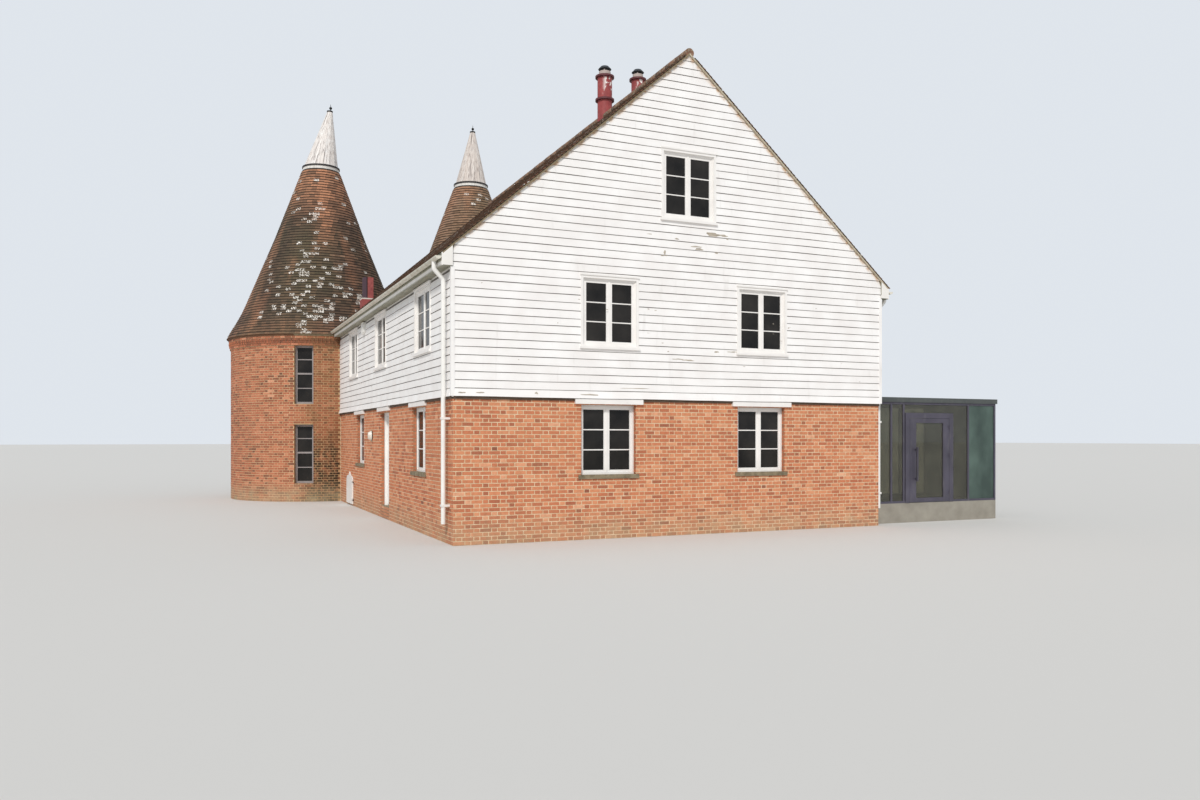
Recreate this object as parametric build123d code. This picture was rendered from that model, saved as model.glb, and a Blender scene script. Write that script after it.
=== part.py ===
from build123d import *
import math
import os

# Oast house in millimetres. The origin is on the ground under the middle of the stowage, the long barn.
# X runs along its weatherboarded gable to the right, Y runs away from the gable, Z is up.

# Stowage: plan, storeys and roof
STOWAGE_WIDTH = 9820
STOWAGE_LENGTH = 13400
BRICK_STOREY = 2710
EAVES_LINE = 5465
ROOF_PITCH = 41
ROOF_THICKNESS = 140
EAVES_OVERHANG = 165
VERGE_OVERHANG = 35
VERGE_LAYER = 30
RIDGE_RADIUS = 95
RIDGE_DROP = 0

# Walls: the board face is the outer plane, the brick face lies behind it
BRICK_SETBACK = 45
BRICK_WALL = 225
BOARD_LINING = 20
TIMBER_WALL = 150

# Floors
GROUND_FLOOR_TOP = 290
FIRST_FLOOR_TOP = 2950
FIRST_FLOOR_DEPTH = 240
ATTIC_FLOOR_TOP = 5550
ATTIC_FLOOR_DEPTH = 200

# Eaves boxes, gutters and downpipes
SOFFIT_HEIGHT = 5080
EAVES_BOARD = 22
FASCIA_LIP = 12
FASCIA_DROP = 15
GUTTER_WIDTH = 115
GUTTER_WALL = 6
GUTTER_DROP = 85
EAVES_REAR_GAP = 230
PIPE_DIAMETER = 85
PIPE_FROM_CORNER = {-1: 300, 1: 180}
PIPE_FOOT = 380
PIPE_CLIPS = (700, 2300)
PIPE_CLIP_HEIGHT = 40
PIPE_STANDOFF = 30
SWAN_NECK_HEAD = 130
SWAN_NECK_FOOT = 310
SWAN_NECK_BEND = 70

# Casement windows
CASING_WIDTH = 70
CASING_PROJECTION = 14
FRAME_BORDER = 45
FRAME_DEPTH = 80
FRAME_SETBACK = 15
SASH_BORDER = 42
SASH_DEPTH = 40
SASH_SETBACK = 10
MULLION_WIDTH = 40
GLASS_THICKNESS = 6
REVEAL_DEPTH = 100
SILL_HEIGHT = 45
SILL_PROJECTION = 45
HEAD_HEIGHT = 30

# Upper gable windows, outside the casings: centre across the wall, bottom, width, height
UPPER_WINDOW_WIDTH = 1235
UPPER_WINDOW_HEIGHT = 1390
UPPER_WINDOW_BOTTOM = FIRST_FLOOR_TOP + 755
GABLE_WINDOW_OFFSET = 1755
ATTIC_WINDOW_WIDTH = 1260
ATTIC_WINDOW_HEIGHT = 1415
ATTIC_WINDOW_BOTTOM = ATTIC_FLOOR_TOP + 785
SIDE_WINDOW_WIDTH = 1410
SIDE_WINDOW_HEIGHT = 1350
SIDE_WINDOW_TO_SOFFIT = 20
SIDE_WINDOW_BOTTOM = SOFFIT_HEIGHT - SIDE_WINDOW_TO_SOFFIT - HEAD_HEIGHT - SIDE_WINDOW_HEIGHT
SIDE_WINDOW_FROM_FRONT = 2270
SIDE_WINDOW_MIDDLE = 20
SIDE_WINDOW_FROM_REAR = 2660

# Ground storey windows in brick
LOWER_WINDOW_WIDTH = 1170
LOWER_WINDOW_HEIGHT = 1350
LOWER_WINDOW_BOTTOM = GROUND_FLOOR_TOP + 960
LOWER_WINDOW_OFFSET = 1760
SIDE_LOWER_WIDTH = 1230
SIDE_LOWER_FROM_FRONT = 2785
SIDE_LOWER_FROM_REAR = 3550
REAR_WINDOW_FROM_SIDE = 1010
REAR_UPPER_WINDOW_WIDTH = 1100
STONE_SILL_HEIGHT = 82
STONE_SILL_PROJECTION = 30
STONE_SILL_HORN = 60
LINTEL_LENGTH = 1450
LINTEL_HEIGHT = 94
LINTEL_PROJECTION = 58

# Side door in the left wall
DOOR_PLACE = -300
DOOR_WIDTH = 1100
DOOR_HEAD = 2580
DOOR_JAMB = 60
DOOR_REBATE = 15
DOOR_FRAME_DEPTH = 125
LEAF_THICKNESS = 44
LEAF_GAP = 6
LEAF_FLOOR_GAP = 10

# Lift-off butt hinges of the two doors: the pinned half on the frame, the bored half on the leaf
PIN_RADIUS = 6
KNUCKLE_RADIUS = 11
PIN_GAP = 0.3
HINGE_HALF = 50
HINGE_PLATE = 4
HINGE_FLAP = 48
HINGE_FACE_GAP = 1

# Low hatch near the far end of the left wall
HATCH_FROM_REAR = 1870
HATCH_WIDTH = 1050
HATCH_BOTTOM = 50
HATCH_SHOULDER = 760
HATCH_PEAK = 970
HATCH_THICKNESS = 30
HATCH_OPENING_INSET = 60
HATCH_OPENING_BOTTOM = GROUND_FLOOR_TOP
HATCH_OPENING_TOP = 740
HATCH_STANDOFF = 8
STRAP_WIDTH = 40
STRAP_LENGTH = 300
STRAP_THICKNESS = 6
STRAP_EYE_RADIUS = 14
PINTLE_REACH = 22
PINTLE_ARM = 16
PINTLE_PLATE = 14

# Small things on the left wall
LAMP_PAST_DOOR = 1650
LAMP_HEIGHT = 2020
LAMP_WIDTH = 200
LAMP_TALL = 270
LAMP_DEPTH = 110
BOX_PAST_DOOR = 2510
BOX_WIDTH = 260
BOX_HEIGHT = 320
BOX_TO_SOFFIT = 30
BOX_BOTTOM = SOFFIT_HEIGHT - BOX_TO_SOFFIT - BOX_HEIGHT
BOX_DEPTH = 95

# Roundels: two round kilns behind the stowage, touching each other at a flat middle joint
ROUNDEL_RADIUS = 2830
ROUNDEL_WALL = 340
ROUNDEL_BITE = 80
ROUNDEL_OUTSET = 200
ROUNDEL_LAP = 440
ROUNDEL_WALL_TOP = 5110
ROUNDEL_SEGMENTS = 16
SEGMENT_JOINT = 0.5
WINDOW_BEARING = 252.2
ROUNDEL_WINDOW_WIDTH = 580
ROUNDEL_UPPER_BOTTOM = 3010
ROUNDEL_UPPER_TOP = 4820
ROUNDEL_LOWER_BOTTOM = 560
ROUNDEL_LOWER_TOP = 2380
ROUNDEL_FRAME_BORDER = 40
ROUNDEL_FRAME_DEPTH = 60
ROUNDEL_REVEAL = 180
CORBEL_BOTTOM = 4810
CORBEL_COURSE = 75
CORBEL_STEP = 15

# Lead flat between the two round walls: reach as a share of the radius, foot and top below the wall's top
VALLEY_REACH = 0.389
VALLEY_FOOT = 150
VALLEY_TOP = 60

# Roundel throat: brick cheeks beside the inner doorways between the stowage and each roundel
THROAT_OFFSET = {"left": 1000, "right": 0}
THROAT_OPENING = 900
CHEEK_WIDTH = 350
INNER_DOOR_HEIGHT = 2050
INNER_DOOR_TOP_STRIP = 60

# Cone roofs: outline of the outer face as radius and height, worked out from the round wall
CONE_EAVES_REACH = 115
CONE_EAVES_RISE = 75
CONE_BELL_INSET = 200
CONE_BELL_RISE = 630
CONE_KNEE_INSET = 460
CONE_KNEE_RISE = 1180
CONE_TOP_RADIUS = 600
CONE_RISE = 5810
CONE_EAVES = (ROUNDEL_RADIUS + CONE_EAVES_REACH, ROUNDEL_WALL_TOP + CONE_EAVES_RISE)
CONE_BELL = (ROUNDEL_RADIUS - CONE_BELL_INSET, ROUNDEL_WALL_TOP + CONE_BELL_RISE)
CONE_KNEE = (ROUNDEL_RADIUS - CONE_KNEE_INSET, ROUNDEL_WALL_TOP + CONE_KNEE_RISE)
CONE_TOP = (CONE_TOP_RADIUS, ROUNDEL_WALL_TOP + CONE_RISE)
CONE_WAIST_SHARE = 0.4816
CONE_WAIST_SAG = 42
CONE_WAIST = (
    CONE_KNEE[0] + (CONE_TOP[0] - CONE_KNEE[0]) * CONE_WAIST_SHARE - CONE_WAIST_SAG,
    CONE_KNEE[1] + (CONE_TOP[1] - CONE_KNEE[1]) * CONE_WAIST_SHARE,
)
CONE_TILE_EDGE = 30
CONE_THICKNESS = 130
CONE_THROAT = 480
KERB_HEIGHT = 100
KERB_RADIUS = 590
KERB_RING_HEIGHT = 48
KERB_RING_RADIUS = 612

# Cowls
COWL_GAP = 12
COWL_HEIGHT = 2030
COWL_BASE_RADIUS = 550
COWL_TIP_RADIUS = 85
COWL_BOARD = 22
COWL_STAVES = 16
COWL_OPEN_STAVES = 4
COWL_OPENING_TOP = 0.72
COWL_LEAN = 460
COWL_BEARINGS = {"left": 44, "right": 66}
COWL_FRAMES = (0.03, 0.5)
COWL_FRAME_HEIGHT = 40
ARM_WIDTH = 44
COWL_CAP_HEIGHT = 45
SPINDLE_RADIUS = 32
SPINDLE_TAIL = 520
BEARING_GAP = 0.3
BEAM_WIDTH = 120
BEAM_HEIGHT = 110
FINIAL_RADIUS = 48
FINIAL_RISE = 110
FINIAL_ASIDE = 45

# Flues on the roof: place, body radius, top height, collar heights below the top
FRONT_FLUE = (20, -2510)
FRONT_FLUE_RADIUS = 178
FRONT_FLUE_TOP = 10750
REAR_FLUE = (1330, -1670)
REAR_FLUE_RADIUS = 166
REAR_FLUE_TOP = 11180
FLUE_COLLAR = 52
FLUE_COLLAR_HEIGHT = 45
FLUE_COLLAR_SPACING = 560
FLUE_NECK = 110
CAP_RADIUS = 160
CAP_THICKNESS = 70
CAP_GAP = 60
CHIMNEY_FROM_SIDE = 610
CHIMNEY_FROM_REAR = 1500
CHIMNEY_SIZE = 280
CHIMNEY_RISE = 1295
CHIMNEY_TOP = EAVES_LINE + CHIMNEY_RISE
CHIMNEY_BASE = 400
CHIMNEY_BASE_RISE = 665
CHIMNEY_BASE_TOP = EAVES_LINE + CHIMNEY_BASE_RISE
CHIMNEY_SLOT_DEPTH = 40
CHIMNEY_SLOT_EDGE = 60

# Glazed link against the right wall
LINK_LENGTH = 3890
LINK_FRONT = 400
LINK_DEPTH = 2400
LINK_FLOOR_TOP = 450
LINK_HEIGHT = 2900
LINK_ROOF = 110
LINK_ROOF_LIP = 30
LINK_POST = 50
LINK_POST_PLACES = (LINK_POST / 2, 660, 1025, 3010, LINK_LENGTH - LINK_POST / 2)
LINK_GLASS_SETBACK = 20
LINK_GLASS = 12
LINK_DOOR_LEFT = 1070
LINK_DOOR_WIDTH = 1455
LINK_DOOR_TOP = 2545
LINK_JAMB = 125
LINK_STILE = 185
LINK_RAIL = 100
LINK_DOOR_THICKNESS = 68
LINK_DOORWAY_WIDTH = 1000
LINK_DOORWAY_HEAD = 2400
PULL_BOTTOM = 950
PULL_TOP = 1750
PULL_SIZE = 32
PULL_STANDOFF = 55

# Worked out from the sizes above
LEFT = -STOWAGE_WIDTH / 2
RIGHT = STOWAGE_WIDTH / 2
FRONT = -STOWAGE_LENGTH / 2
REAR = STOWAGE_LENGTH / 2
SLOPE = math.tan(math.radians(ROOF_PITCH))
APEX = EAVES_LINE + RIGHT * SLOPE
ROOF_DROP = ROOF_THICKNESS / math.cos(math.radians(ROOF_PITCH))
VERGE_DROP = VERGE_LAYER / math.cos(math.radians(ROOF_PITCH))
BRICK_INNER = BRICK_SETBACK + BRICK_WALL
TIMBER_INNER = BOARD_LINING + TIMBER_WALL
INNER_DOOR_HEADS = (GROUND_FLOOR_TOP + INNER_DOOR_HEIGHT, FIRST_FLOOR_TOP + INNER_DOOR_HEIGHT)
SIDE_WINDOW_PLACES = (FRONT + SIDE_WINDOW_FROM_FRONT, SIDE_WINDOW_MIDDLE, REAR - SIDE_WINDOW_FROM_REAR)
SIDE_LOWER_PLACES = (FRONT + SIDE_LOWER_FROM_FRONT, REAR - SIDE_LOWER_FROM_REAR)
REAR_WINDOW_PLACE = RIGHT - REAR_WINDOW_FROM_SIDE
HATCH_PLACE = REAR - HATCH_FROM_REAR
LAMP_PLACE = DOOR_PLACE + LAMP_PAST_DOOR
BOX_PLACE = DOOR_PLACE + BOX_PAST_DOOR
CHIMNEY_PLACE = (LEFT + CHIMNEY_FROM_SIDE, REAR - CHIMNEY_FROM_REAR)
ROUNDEL_Y = REAR + ROUNDEL_RADIUS - ROUNDEL_BITE
ROUNDEL_CENTRES = {
    "left": (LEFT - ROUNDEL_OUTSET, ROUNDEL_Y),
    "right": (LEFT - ROUNDEL_OUTSET + 2 * ROUNDEL_RADIUS - ROUNDEL_LAP, ROUNDEL_Y),
}
WEDGE_REACH = 1.45 * ROUNDEL_RADIUS
FAR = 40000


def block(x0, x1, y0, y1, z0, z1):
    """A box between two opposite corners."""
    corner = Pos((x0 + x1) / 2, (y0 + y1) / 2, (z0 + z1) / 2)
    return corner * Box(abs(x1 - x0), abs(y1 - y0), abs(z1 - z0))


def prism_along_y(points, y0, y1):
    """A straight prism whose section is a polygon of x, z points."""
    face = make_face(Polyline(*[(x, y0, z) for x, z in points], close=True))
    return extrude(face, amount=y1 - y0, dir=(0, 1, 0))


def on_wall(side):
    """Placement of a wall's own frame: x to the right seen from outside, y inwards, z up."""
    places = {
        "front": Pos(0, FRONT, 0),
        "rear": Pos(0, REAR, 0) * Rot(0, 0, 180),
        "left": Pos(LEFT, 0, 0) * Rot(0, 0, -90),
        "right": Pos(RIGHT, 0, 0) * Rot(0, 0, 90),
    }
    return places[side]


def ring(width, height, border, y0, y1):
    """An upright rectangular ring, standing on z = 0 and centred on x = 0."""
    outer = block(-width / 2, width / 2, y0, y1, 0, height)
    inner = block(-width / 2 + border, width / 2 - border, y0 - 1, y1 + 1, border, height - border)
    return outer - inner


def boarded_opening(width, height):
    """Size of the hole behind a cased window."""
    overlap = CASING_WIDTH - 25
    return width - 2 * overlap, height - 2 * overlap


def casement(width, height, face):
    """A two-light casement in a hole of this size: frame, mullion and both sashes as one joinery piece."""
    frame_y = face + FRAME_SETBACK
    body = ring(width, height, FRAME_BORDER, frame_y, frame_y + FRAME_DEPTH)
    sash_y = frame_y + SASH_SETBACK
    body += Pos(0, 0, FRAME_BORDER) * block(
        -MULLION_WIDTH / 2, MULLION_WIDTH / 2, frame_y, frame_y + FRAME_DEPTH, 0, height - 2 * FRAME_BORDER
    )
    light_width = (width - 2 * FRAME_BORDER - MULLION_WIDTH) / 2
    light_height = height - 2 * FRAME_BORDER
    for hand in (-1, 1):
        centre = hand * (light_width + MULLION_WIDTH) / 2
        sash = ring(light_width, light_height, SASH_BORDER, sash_y, sash_y + SASH_DEPTH)
        body += Pos(centre, 0, FRAME_BORDER) * sash
    return body


def casement_glass(width, height, face):
    """The two panes of a casement, each in its sash."""
    light_width = (width - 2 * FRAME_BORDER - MULLION_WIDTH) / 2
    light_height = height - 2 * FRAME_BORDER
    pane_y = face + FRAME_SETBACK + SASH_SETBACK + SASH_DEPTH / 2
    panes = []
    for hand in (-1, 1):
        centre = hand * (light_width + MULLION_WIDTH) / 2
        half = light_width / 2 - SASH_BORDER
        bottom = FRAME_BORDER + SASH_BORDER
        panes.append(block(centre - half, centre + half, pane_y - GLASS_THICKNESS / 2,
                           pane_y + GLASS_THICKNESS / 2, bottom, bottom + light_height - 2 * SASH_BORDER))
    return panes


def cased_window(width, height):
    """A window of the boarded walls: casing on the wall face, sill, head board and the casement behind."""
    hole_width, hole_height = boarded_opening(width, height)
    border = (width - hole_width) / 2
    body = ring(width, height, border + 5, -CASING_PROJECTION, BOARD_LINING)
    body += Pos(0, 0, border) * casement(hole_width, hole_height, BOARD_LINING)
    lining = ring(hole_width, hole_height, FRAME_BORDER / 2, BOARD_LINING, BOARD_LINING + FRAME_SETBACK)
    body += Pos(0, 0, border) * lining
    body += block(-width / 2 - 20, width / 2 + 20, -SILL_PROJECTION, BOARD_LINING, -SILL_HEIGHT / 2, SILL_HEIGHT / 2)
    body += block(-width / 2 - 10, width / 2 + 10, -SILL_PROJECTION * 0.7, BOARD_LINING, height, height + HEAD_HEIGHT)
    return body


def cased_hole(width, height, depth):
    """What a cased window cuts from its wall."""
    hole_width, hole_height = boarded_opening(width, height)
    border = (width - hole_width) / 2
    return block(-hole_width / 2, hole_width / 2, -1, depth, border, border + hole_height)


def brick_hole(width, height):
    """What a window in brick cuts from its wall, with the bed of its stone sill."""
    return block(-width / 2, width / 2, -1, BRICK_INNER + 1, -STONE_SILL_HEIGHT, height)


def stone_sill(width):
    """A stone sill in the foot of a brick opening, with a nose and horns before the brick face."""
    nose = BRICK_SETBACK - STONE_SILL_PROJECTION
    body = block(-width / 2, width / 2, nose, BRICK_INNER, -STONE_SILL_HEIGHT, 0)
    half = width / 2 + STONE_SILL_HORN
    body += block(-half, half, nose, BRICK_SETBACK, -STONE_SILL_HEIGHT, 0)
    return body


# Windows of the boarded walls: side, place along the wall seen from outside, bottom, width, height
CASED_WINDOWS = [
    ("front", -GABLE_WINDOW_OFFSET, UPPER_WINDOW_BOTTOM, UPPER_WINDOW_WIDTH, UPPER_WINDOW_HEIGHT),
    ("front", GABLE_WINDOW_OFFSET, UPPER_WINDOW_BOTTOM, UPPER_WINDOW_WIDTH, UPPER_WINDOW_HEIGHT),
    ("front", 0, ATTIC_WINDOW_BOTTOM, ATTIC_WINDOW_WIDTH, ATTIC_WINDOW_HEIGHT),
    ("rear", 0, ATTIC_WINDOW_BOTTOM, ATTIC_WINDOW_WIDTH, ATTIC_WINDOW_HEIGHT),
    ("rear", -REAR_WINDOW_PLACE, UPPER_WINDOW_BOTTOM, REAR_UPPER_WINDOW_WIDTH, SIDE_WINDOW_HEIGHT),
]
for place in SIDE_WINDOW_PLACES:
    CASED_WINDOWS.append(("left", -place, SIDE_WINDOW_BOTTOM, SIDE_WINDOW_WIDTH, SIDE_WINDOW_HEIGHT))
    CASED_WINDOWS.append(("right", place, SIDE_WINDOW_BOTTOM, SIDE_WINDOW_WIDTH, SIDE_WINDOW_HEIGHT))

# Windows of the brick storey: side, place, width
BRICK_WINDOWS = [
    ("front", -LOWER_WINDOW_OFFSET, LOWER_WINDOW_WIDTH),
    ("front", LOWER_WINDOW_OFFSET, LOWER_WINDOW_WIDTH),
    ("left", -SIDE_LOWER_PLACES[0], SIDE_LOWER_WIDTH),
    ("left", -SIDE_LOWER_PLACES[1], SIDE_LOWER_WIDTH),
    ("right", DOOR_PLACE, SIDE_LOWER_WIDTH),
    ("right", SIDE_LOWER_PLACES[1], SIDE_LOWER_WIDTH),
    ("rear", -REAR_WINDOW_PLACE, LOWER_WINDOW_WIDTH),
]

# Doorways: side, place, width, bottom, head
LINK_DOORWAY_PLACE = FRONT + LINK_FRONT + LINK_DEPTH / 2
SIDE_DOORWAY = ("left", -DOOR_PLACE, DOOR_WIDTH, GROUND_FLOOR_TOP, DOOR_HEAD)
HATCHWAY = ("left", -HATCH_PLACE, HATCH_WIDTH - 2 * HATCH_OPENING_INSET, HATCH_OPENING_BOTTOM, HATCH_OPENING_TOP)
LINK_DOORWAY = ("right", LINK_DOORWAY_PLACE, LINK_DOORWAY_WIDTH, GROUND_FLOOR_TOP, LINK_DOORWAY_HEAD)


def throat_centre(hand):
    """Where a roundel's inner doorways stand along X."""
    return ROUNDEL_CENTRES[hand][0] + THROAT_OFFSET[hand]


INNER_DOORWAYS = [
    ("rear", -throat_centre(hand), THROAT_OPENING, GROUND_FLOOR_TOP, INNER_DOOR_HEADS[0]) for hand in ROUNDEL_CENTRES
]


def doorway_gap(doorway, top):
    """The slot of a doorway through a wall, from the ground up to a height."""
    side, place, width, bottom, head = doorway
    return on_wall(side) * block(place - width / 2, place + width / 2, -100, BRICK_INNER + 100, bottom, top)


def ground_wall(side):
    """The brick storey of one side of the stowage, parted at its doorways, which run up to the wall's top."""
    half = RIGHT - BRICK_SETBACK if side in ("front", "rear") else REAR - BRICK_INNER
    wall = on_wall(side) * block(-half, half, BRICK_SETBACK, BRICK_INNER, 0, BRICK_STOREY)
    for window_side, place, width in BRICK_WINDOWS:
        if window_side == side:
            hole = Pos(place, 0, LOWER_WINDOW_BOTTOM) * brick_hole(width, LOWER_WINDOW_HEIGHT)
            wall -= on_wall(side) * hole
    for doorway in [SIDE_DOORWAY, HATCHWAY, LINK_DOORWAY] + INNER_DOORWAYS:
        if doorway[0] == side:
            wall -= doorway_gap(doorway[:3] + (-1, doorway[4]), BRICK_STOREY + 1)
    return wall


def door_head(doorway):
    """The brickwork over one doorway."""
    side, place, width, bottom, head = doorway
    return on_wall(side) * block(place - width / 2, place + width / 2, BRICK_SETBACK, BRICK_INNER, head, BRICK_STOREY)


def threshold(doorway):
    """The stone under one doorway, between the parts of its wall."""
    side, place, width, bottom, head = doorway
    return on_wall(side) * block(place - width / 2, place + width / 2, BRICK_SETBACK, BRICK_INNER, 0, bottom)


def under_roof(overshoot):
    """The space under the roof slabs, as a long prism."""
    top = APEX - ROOF_DROP
    foot = RIGHT + overshoot
    edge = top - foot * SLOPE
    return prism_along_y([(-foot, -10), (foot, -10), (foot, edge), (0, top), (-foot, edge)], -FAR, FAR)


def gable_slab(y0, y1, z0):
    """A gable wall from z0 up to the underside of the roof."""
    half = RIGHT - BOARD_LINING
    return block(-half, half, y0, y1, z0, APEX) & under_roof(0)


def cut_cased_holes(wall, side):
    """Cuts the holes of one side's cased windows."""
    for window_side, place, bottom, width, height in CASED_WINDOWS:
        if window_side == side:
            wall -= on_wall(side) * Pos(place, 0, bottom) * cased_hole(width, height, TIMBER_INNER + 1)
    return wall


def side_upper_wall(side):
    """The boarded wall of a long side, its top splayed under the roof."""
    half = REAR - TIMBER_INNER
    slab = on_wall(side) * block(-half, half, BOARD_LINING, TIMBER_INNER, BRICK_STOREY, APEX)
    return cut_cased_holes(slab & under_roof(0), side)


def rear_upper_piers():
    """The boarded rear wall up to the heads of its inner doorways, parted at them."""
    half = RIGHT - BOARD_LINING
    wall = block(-half, half, REAR - TIMBER_INNER, REAR - BOARD_LINING, BRICK_STOREY, INNER_DOOR_HEADS[1])
    for side, place, width, bottom, head in INNER_DOORWAYS:
        centre = -place
        wall -= block(centre - width / 2, centre + width / 2, REAR - TIMBER_INNER - 1, REAR, BRICK_STOREY - 1, FAR)
    return cut_cased_holes(wall, "rear")


def slope_layer(hand, drop, y0, y1):
    """A sheet of one roof slope from its upper face down by a drop, between two places along Y."""
    foot = RIGHT + EAVES_OVERHANG
    edge = APEX - foot * SLOPE
    return prism_along_y([(0, APEX), (hand * foot, edge), (hand * foot, edge - drop), (0, APEX - drop)], y0, y1)


def roof_slope(hand):
    """One slope of the roof: a thick slab over the frame, its tiled top layer reaching past the gable boards."""
    slab = slope_layer(hand, ROOF_DROP, FRONT + BOARD_LINING, REAR - BOARD_LINING)
    return slab + slope_layer(hand, VERGE_DROP, FRONT - VERGE_OVERHANG, REAR + VERGE_OVERHANG)


def roof_mass():
    """Everything below the roof's upper faces, used to seat what stands on the roof."""
    foot = RIGHT + EAVES_OVERHANG
    edge = APEX - foot * SLOPE
    return prism_along_y([(-foot, -10), (foot, -10), (foot, edge), (0, APEX), (-foot, edge)],
                         FRONT - VERGE_OVERHANG, REAR + VERGE_OVERHANG)


def ridge_capping():
    """Half-round ridge tiles bedded on both slopes."""
    length = STOWAGE_LENGTH + 2 * VERGE_OVERHANG
    rod = Pos(0, 0, APEX - RIDGE_DROP) * Rot(90, 0, 0) * Cylinder(RIDGE_RADIUS, length)
    x, y = FRONT_FLUE
    hole = Pos(x, y, APEX) * Cylinder(FRONT_FLUE_RADIUS, 4 * RIDGE_RADIUS)
    return rod - roof_mass() - hole


def eaves_box(hand):
    """Fascia and soffit boards under one eaves, closed by a boxed end at the gable."""
    outer = RIGHT + EAVES_OVERHANG
    face = outer + EAVES_BOARD
    y0 = FRONT - VERGE_OVERHANG
    y1 = REAR - EAVES_REAR_GAP
    fascia_top = APEX - outer * SLOPE - FASCIA_DROP
    fascia = block(hand * outer, hand * face, y0, y1, SOFFIT_HEIGHT - FASCIA_LIP, fascia_top)
    wall_face = RIGHT - BOARD_LINING
    soffit = block(hand * wall_face, hand * outer, y0, y1, SOFFIT_HEIGHT, SOFFIT_HEIGHT + EAVES_BOARD)
    underside = APEX - VERGE_DROP
    end = prism_along_y([(hand * wall_face, SOFFIT_HEIGHT), (hand * outer, SOFFIT_HEIGHT),
                         (hand * outer, underside - outer * SLOPE),
                         (hand * wall_face, underside - wall_face * SLOPE)], y0, y0 + EAVES_BOARD)
    return fascia + soffit + end


def gutter(hand):
    """A half-round gutter along one fascia with its stopped ends."""
    radius = GUTTER_WIDTH / 2
    centre_x = hand * (RIGHT + EAVES_OVERHANG + EAVES_BOARD + radius)
    top = APEX - (RIGHT + EAVES_OVERHANG) * SLOPE - GUTTER_DROP
    y0 = FRONT - VERGE_OVERHANG
    y1 = REAR - EAVES_REAR_GAP
    length = y1 - y0
    middle = Pos(centre_x, (y0 + y1) / 2, top) * Rot(90, 0, 0)
    body = middle * Cylinder(radius, length)
    body -= middle * Cylinder(radius - GUTTER_WALL, length - 2 * GUTTER_WALL)
    return body & block(-FAR, FAR, -FAR, FAR, top - radius - 1, top)


def downpipe(hand):
    """A round pipe from the gutter, back under the eaves by a swan neck and down the wall."""
    radius = GUTTER_WIDTH / 2
    gutter_x = RIGHT + EAVES_OVERHANG + EAVES_BOARD + radius
    wall_x = RIGHT + PIPE_STANDOFF + PIPE_DIAMETER / 2
    outlet = APEX - (RIGHT + EAVES_OVERHANG) * SLOPE - GUTTER_DROP - radius
    y = FRONT + PIPE_FROM_CORNER[hand]
    path = FilletPolyline(
        (hand * gutter_x, y, outlet),
        (hand * gutter_x, y, outlet - SWAN_NECK_HEAD),
        (hand * wall_x, y, outlet - SWAN_NECK_FOOT),
        (hand * wall_x, y, PIPE_FOOT),
        radius=SWAN_NECK_BEND,
    )
    section = Plane(origin=path @ 0, z_dir=path % 0) * Circle(PIPE_DIAMETER / 2)
    pipe = sweep(section, path)
    clip_x = hand * (wall_x + PIPE_DIAMETER / 2 + 6)
    face_x = hand * (RIGHT - BRICK_SETBACK)
    half = PIPE_DIAMETER / 2 + 6
    for height in PIPE_CLIPS:
        pipe += block(face_x, clip_x, y - half, y + half, height, height + PIPE_CLIP_HEIGHT)
    return pipe


def roundel_place(hand):
    """Placement of a roundel's own frame at the middle of its floor."""
    x, y = ROUNDEL_CENTRES[hand]
    return Pos(x, y, 0)


def sector(start, end, reach, z0, z1):
    """An upright wedge between two bearings in degrees, wide enough to cut any roundel piece."""
    span = end - start
    mid = math.radians((start + end) / 2)
    far = reach / math.cos(math.radians(span / 2))
    first, last = math.radians(start), math.radians(end)
    points = [
        (0, 0, z0),
        (far * math.cos(first), far * math.sin(first), z0),
        (reach * 1.2 * math.cos(mid), reach * 1.2 * math.sin(mid), z0),
        (far * math.cos(last), far * math.sin(last), z0),
    ]
    return extrude(make_face(Polyline(*points, close=True)), amount=z1 - z0, dir=(0, 0, 1))


def side_trim(hand):
    """The half space kept for one roundel: up to the flat joint between the two."""
    joint = (ROUNDEL_CENTRES["left"][0] + ROUNDEL_CENTRES["right"][0]) / 2
    if hand == "left":
        return block(-FAR, joint - SEGMENT_JOINT / 2, -FAR, FAR, -100, FAR)
    return block(joint + SEGMENT_JOINT / 2, FAR, -FAR, FAR, -100, FAR)


def stowage_mass():
    """The outside of the stowage as one solid, which the roundels are built against."""
    brick = block(LEFT + BRICK_SETBACK, RIGHT - BRICK_SETBACK, FRONT, REAR - BRICK_SETBACK, -100, BRICK_STOREY)
    boarded = gable_slab(FRONT, REAR - BOARD_LINING, BRICK_STOREY)
    return brick + boarded + roof_slope(-1) + roof_slope(1)


def corbel_profile():
    """Section of a roundel wall as radius and height, with its oversailing brick courses."""
    inner = ROUNDEL_RADIUS - ROUNDEL_WALL
    points = [(inner, 0), (ROUNDEL_RADIUS, 0), (ROUNDEL_RADIUS, CORBEL_BOTTOM)]
    radius = ROUNDEL_RADIUS
    height = CORBEL_BOTTOM
    while height < ROUNDEL_WALL_TOP - 1:
        radius += CORBEL_STEP
        points.append((radius, height))
        height = min(height + CORBEL_COURSE, ROUNDEL_WALL_TOP)
        points.append((radius, height))
    points.append((inner, ROUNDEL_WALL_TOP))
    return points


def revolved(points):
    """A full turn of a polygon of radius and height points about Z."""
    face = make_face(Polyline(*[(r, 0, z) for r, z in points], close=True))
    return revolve(face, Axis.Z)


def window_slot(bearing, bottom, top, depth):
    """The hole of a tall roundel window at a bearing."""
    half = ROUNDEL_WINDOW_WIDTH / 2
    return Rot(0, 0, bearing) * block(ROUNDEL_RADIUS - depth, ROUNDEL_RADIUS + 200, -half, half, bottom, top)


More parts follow.
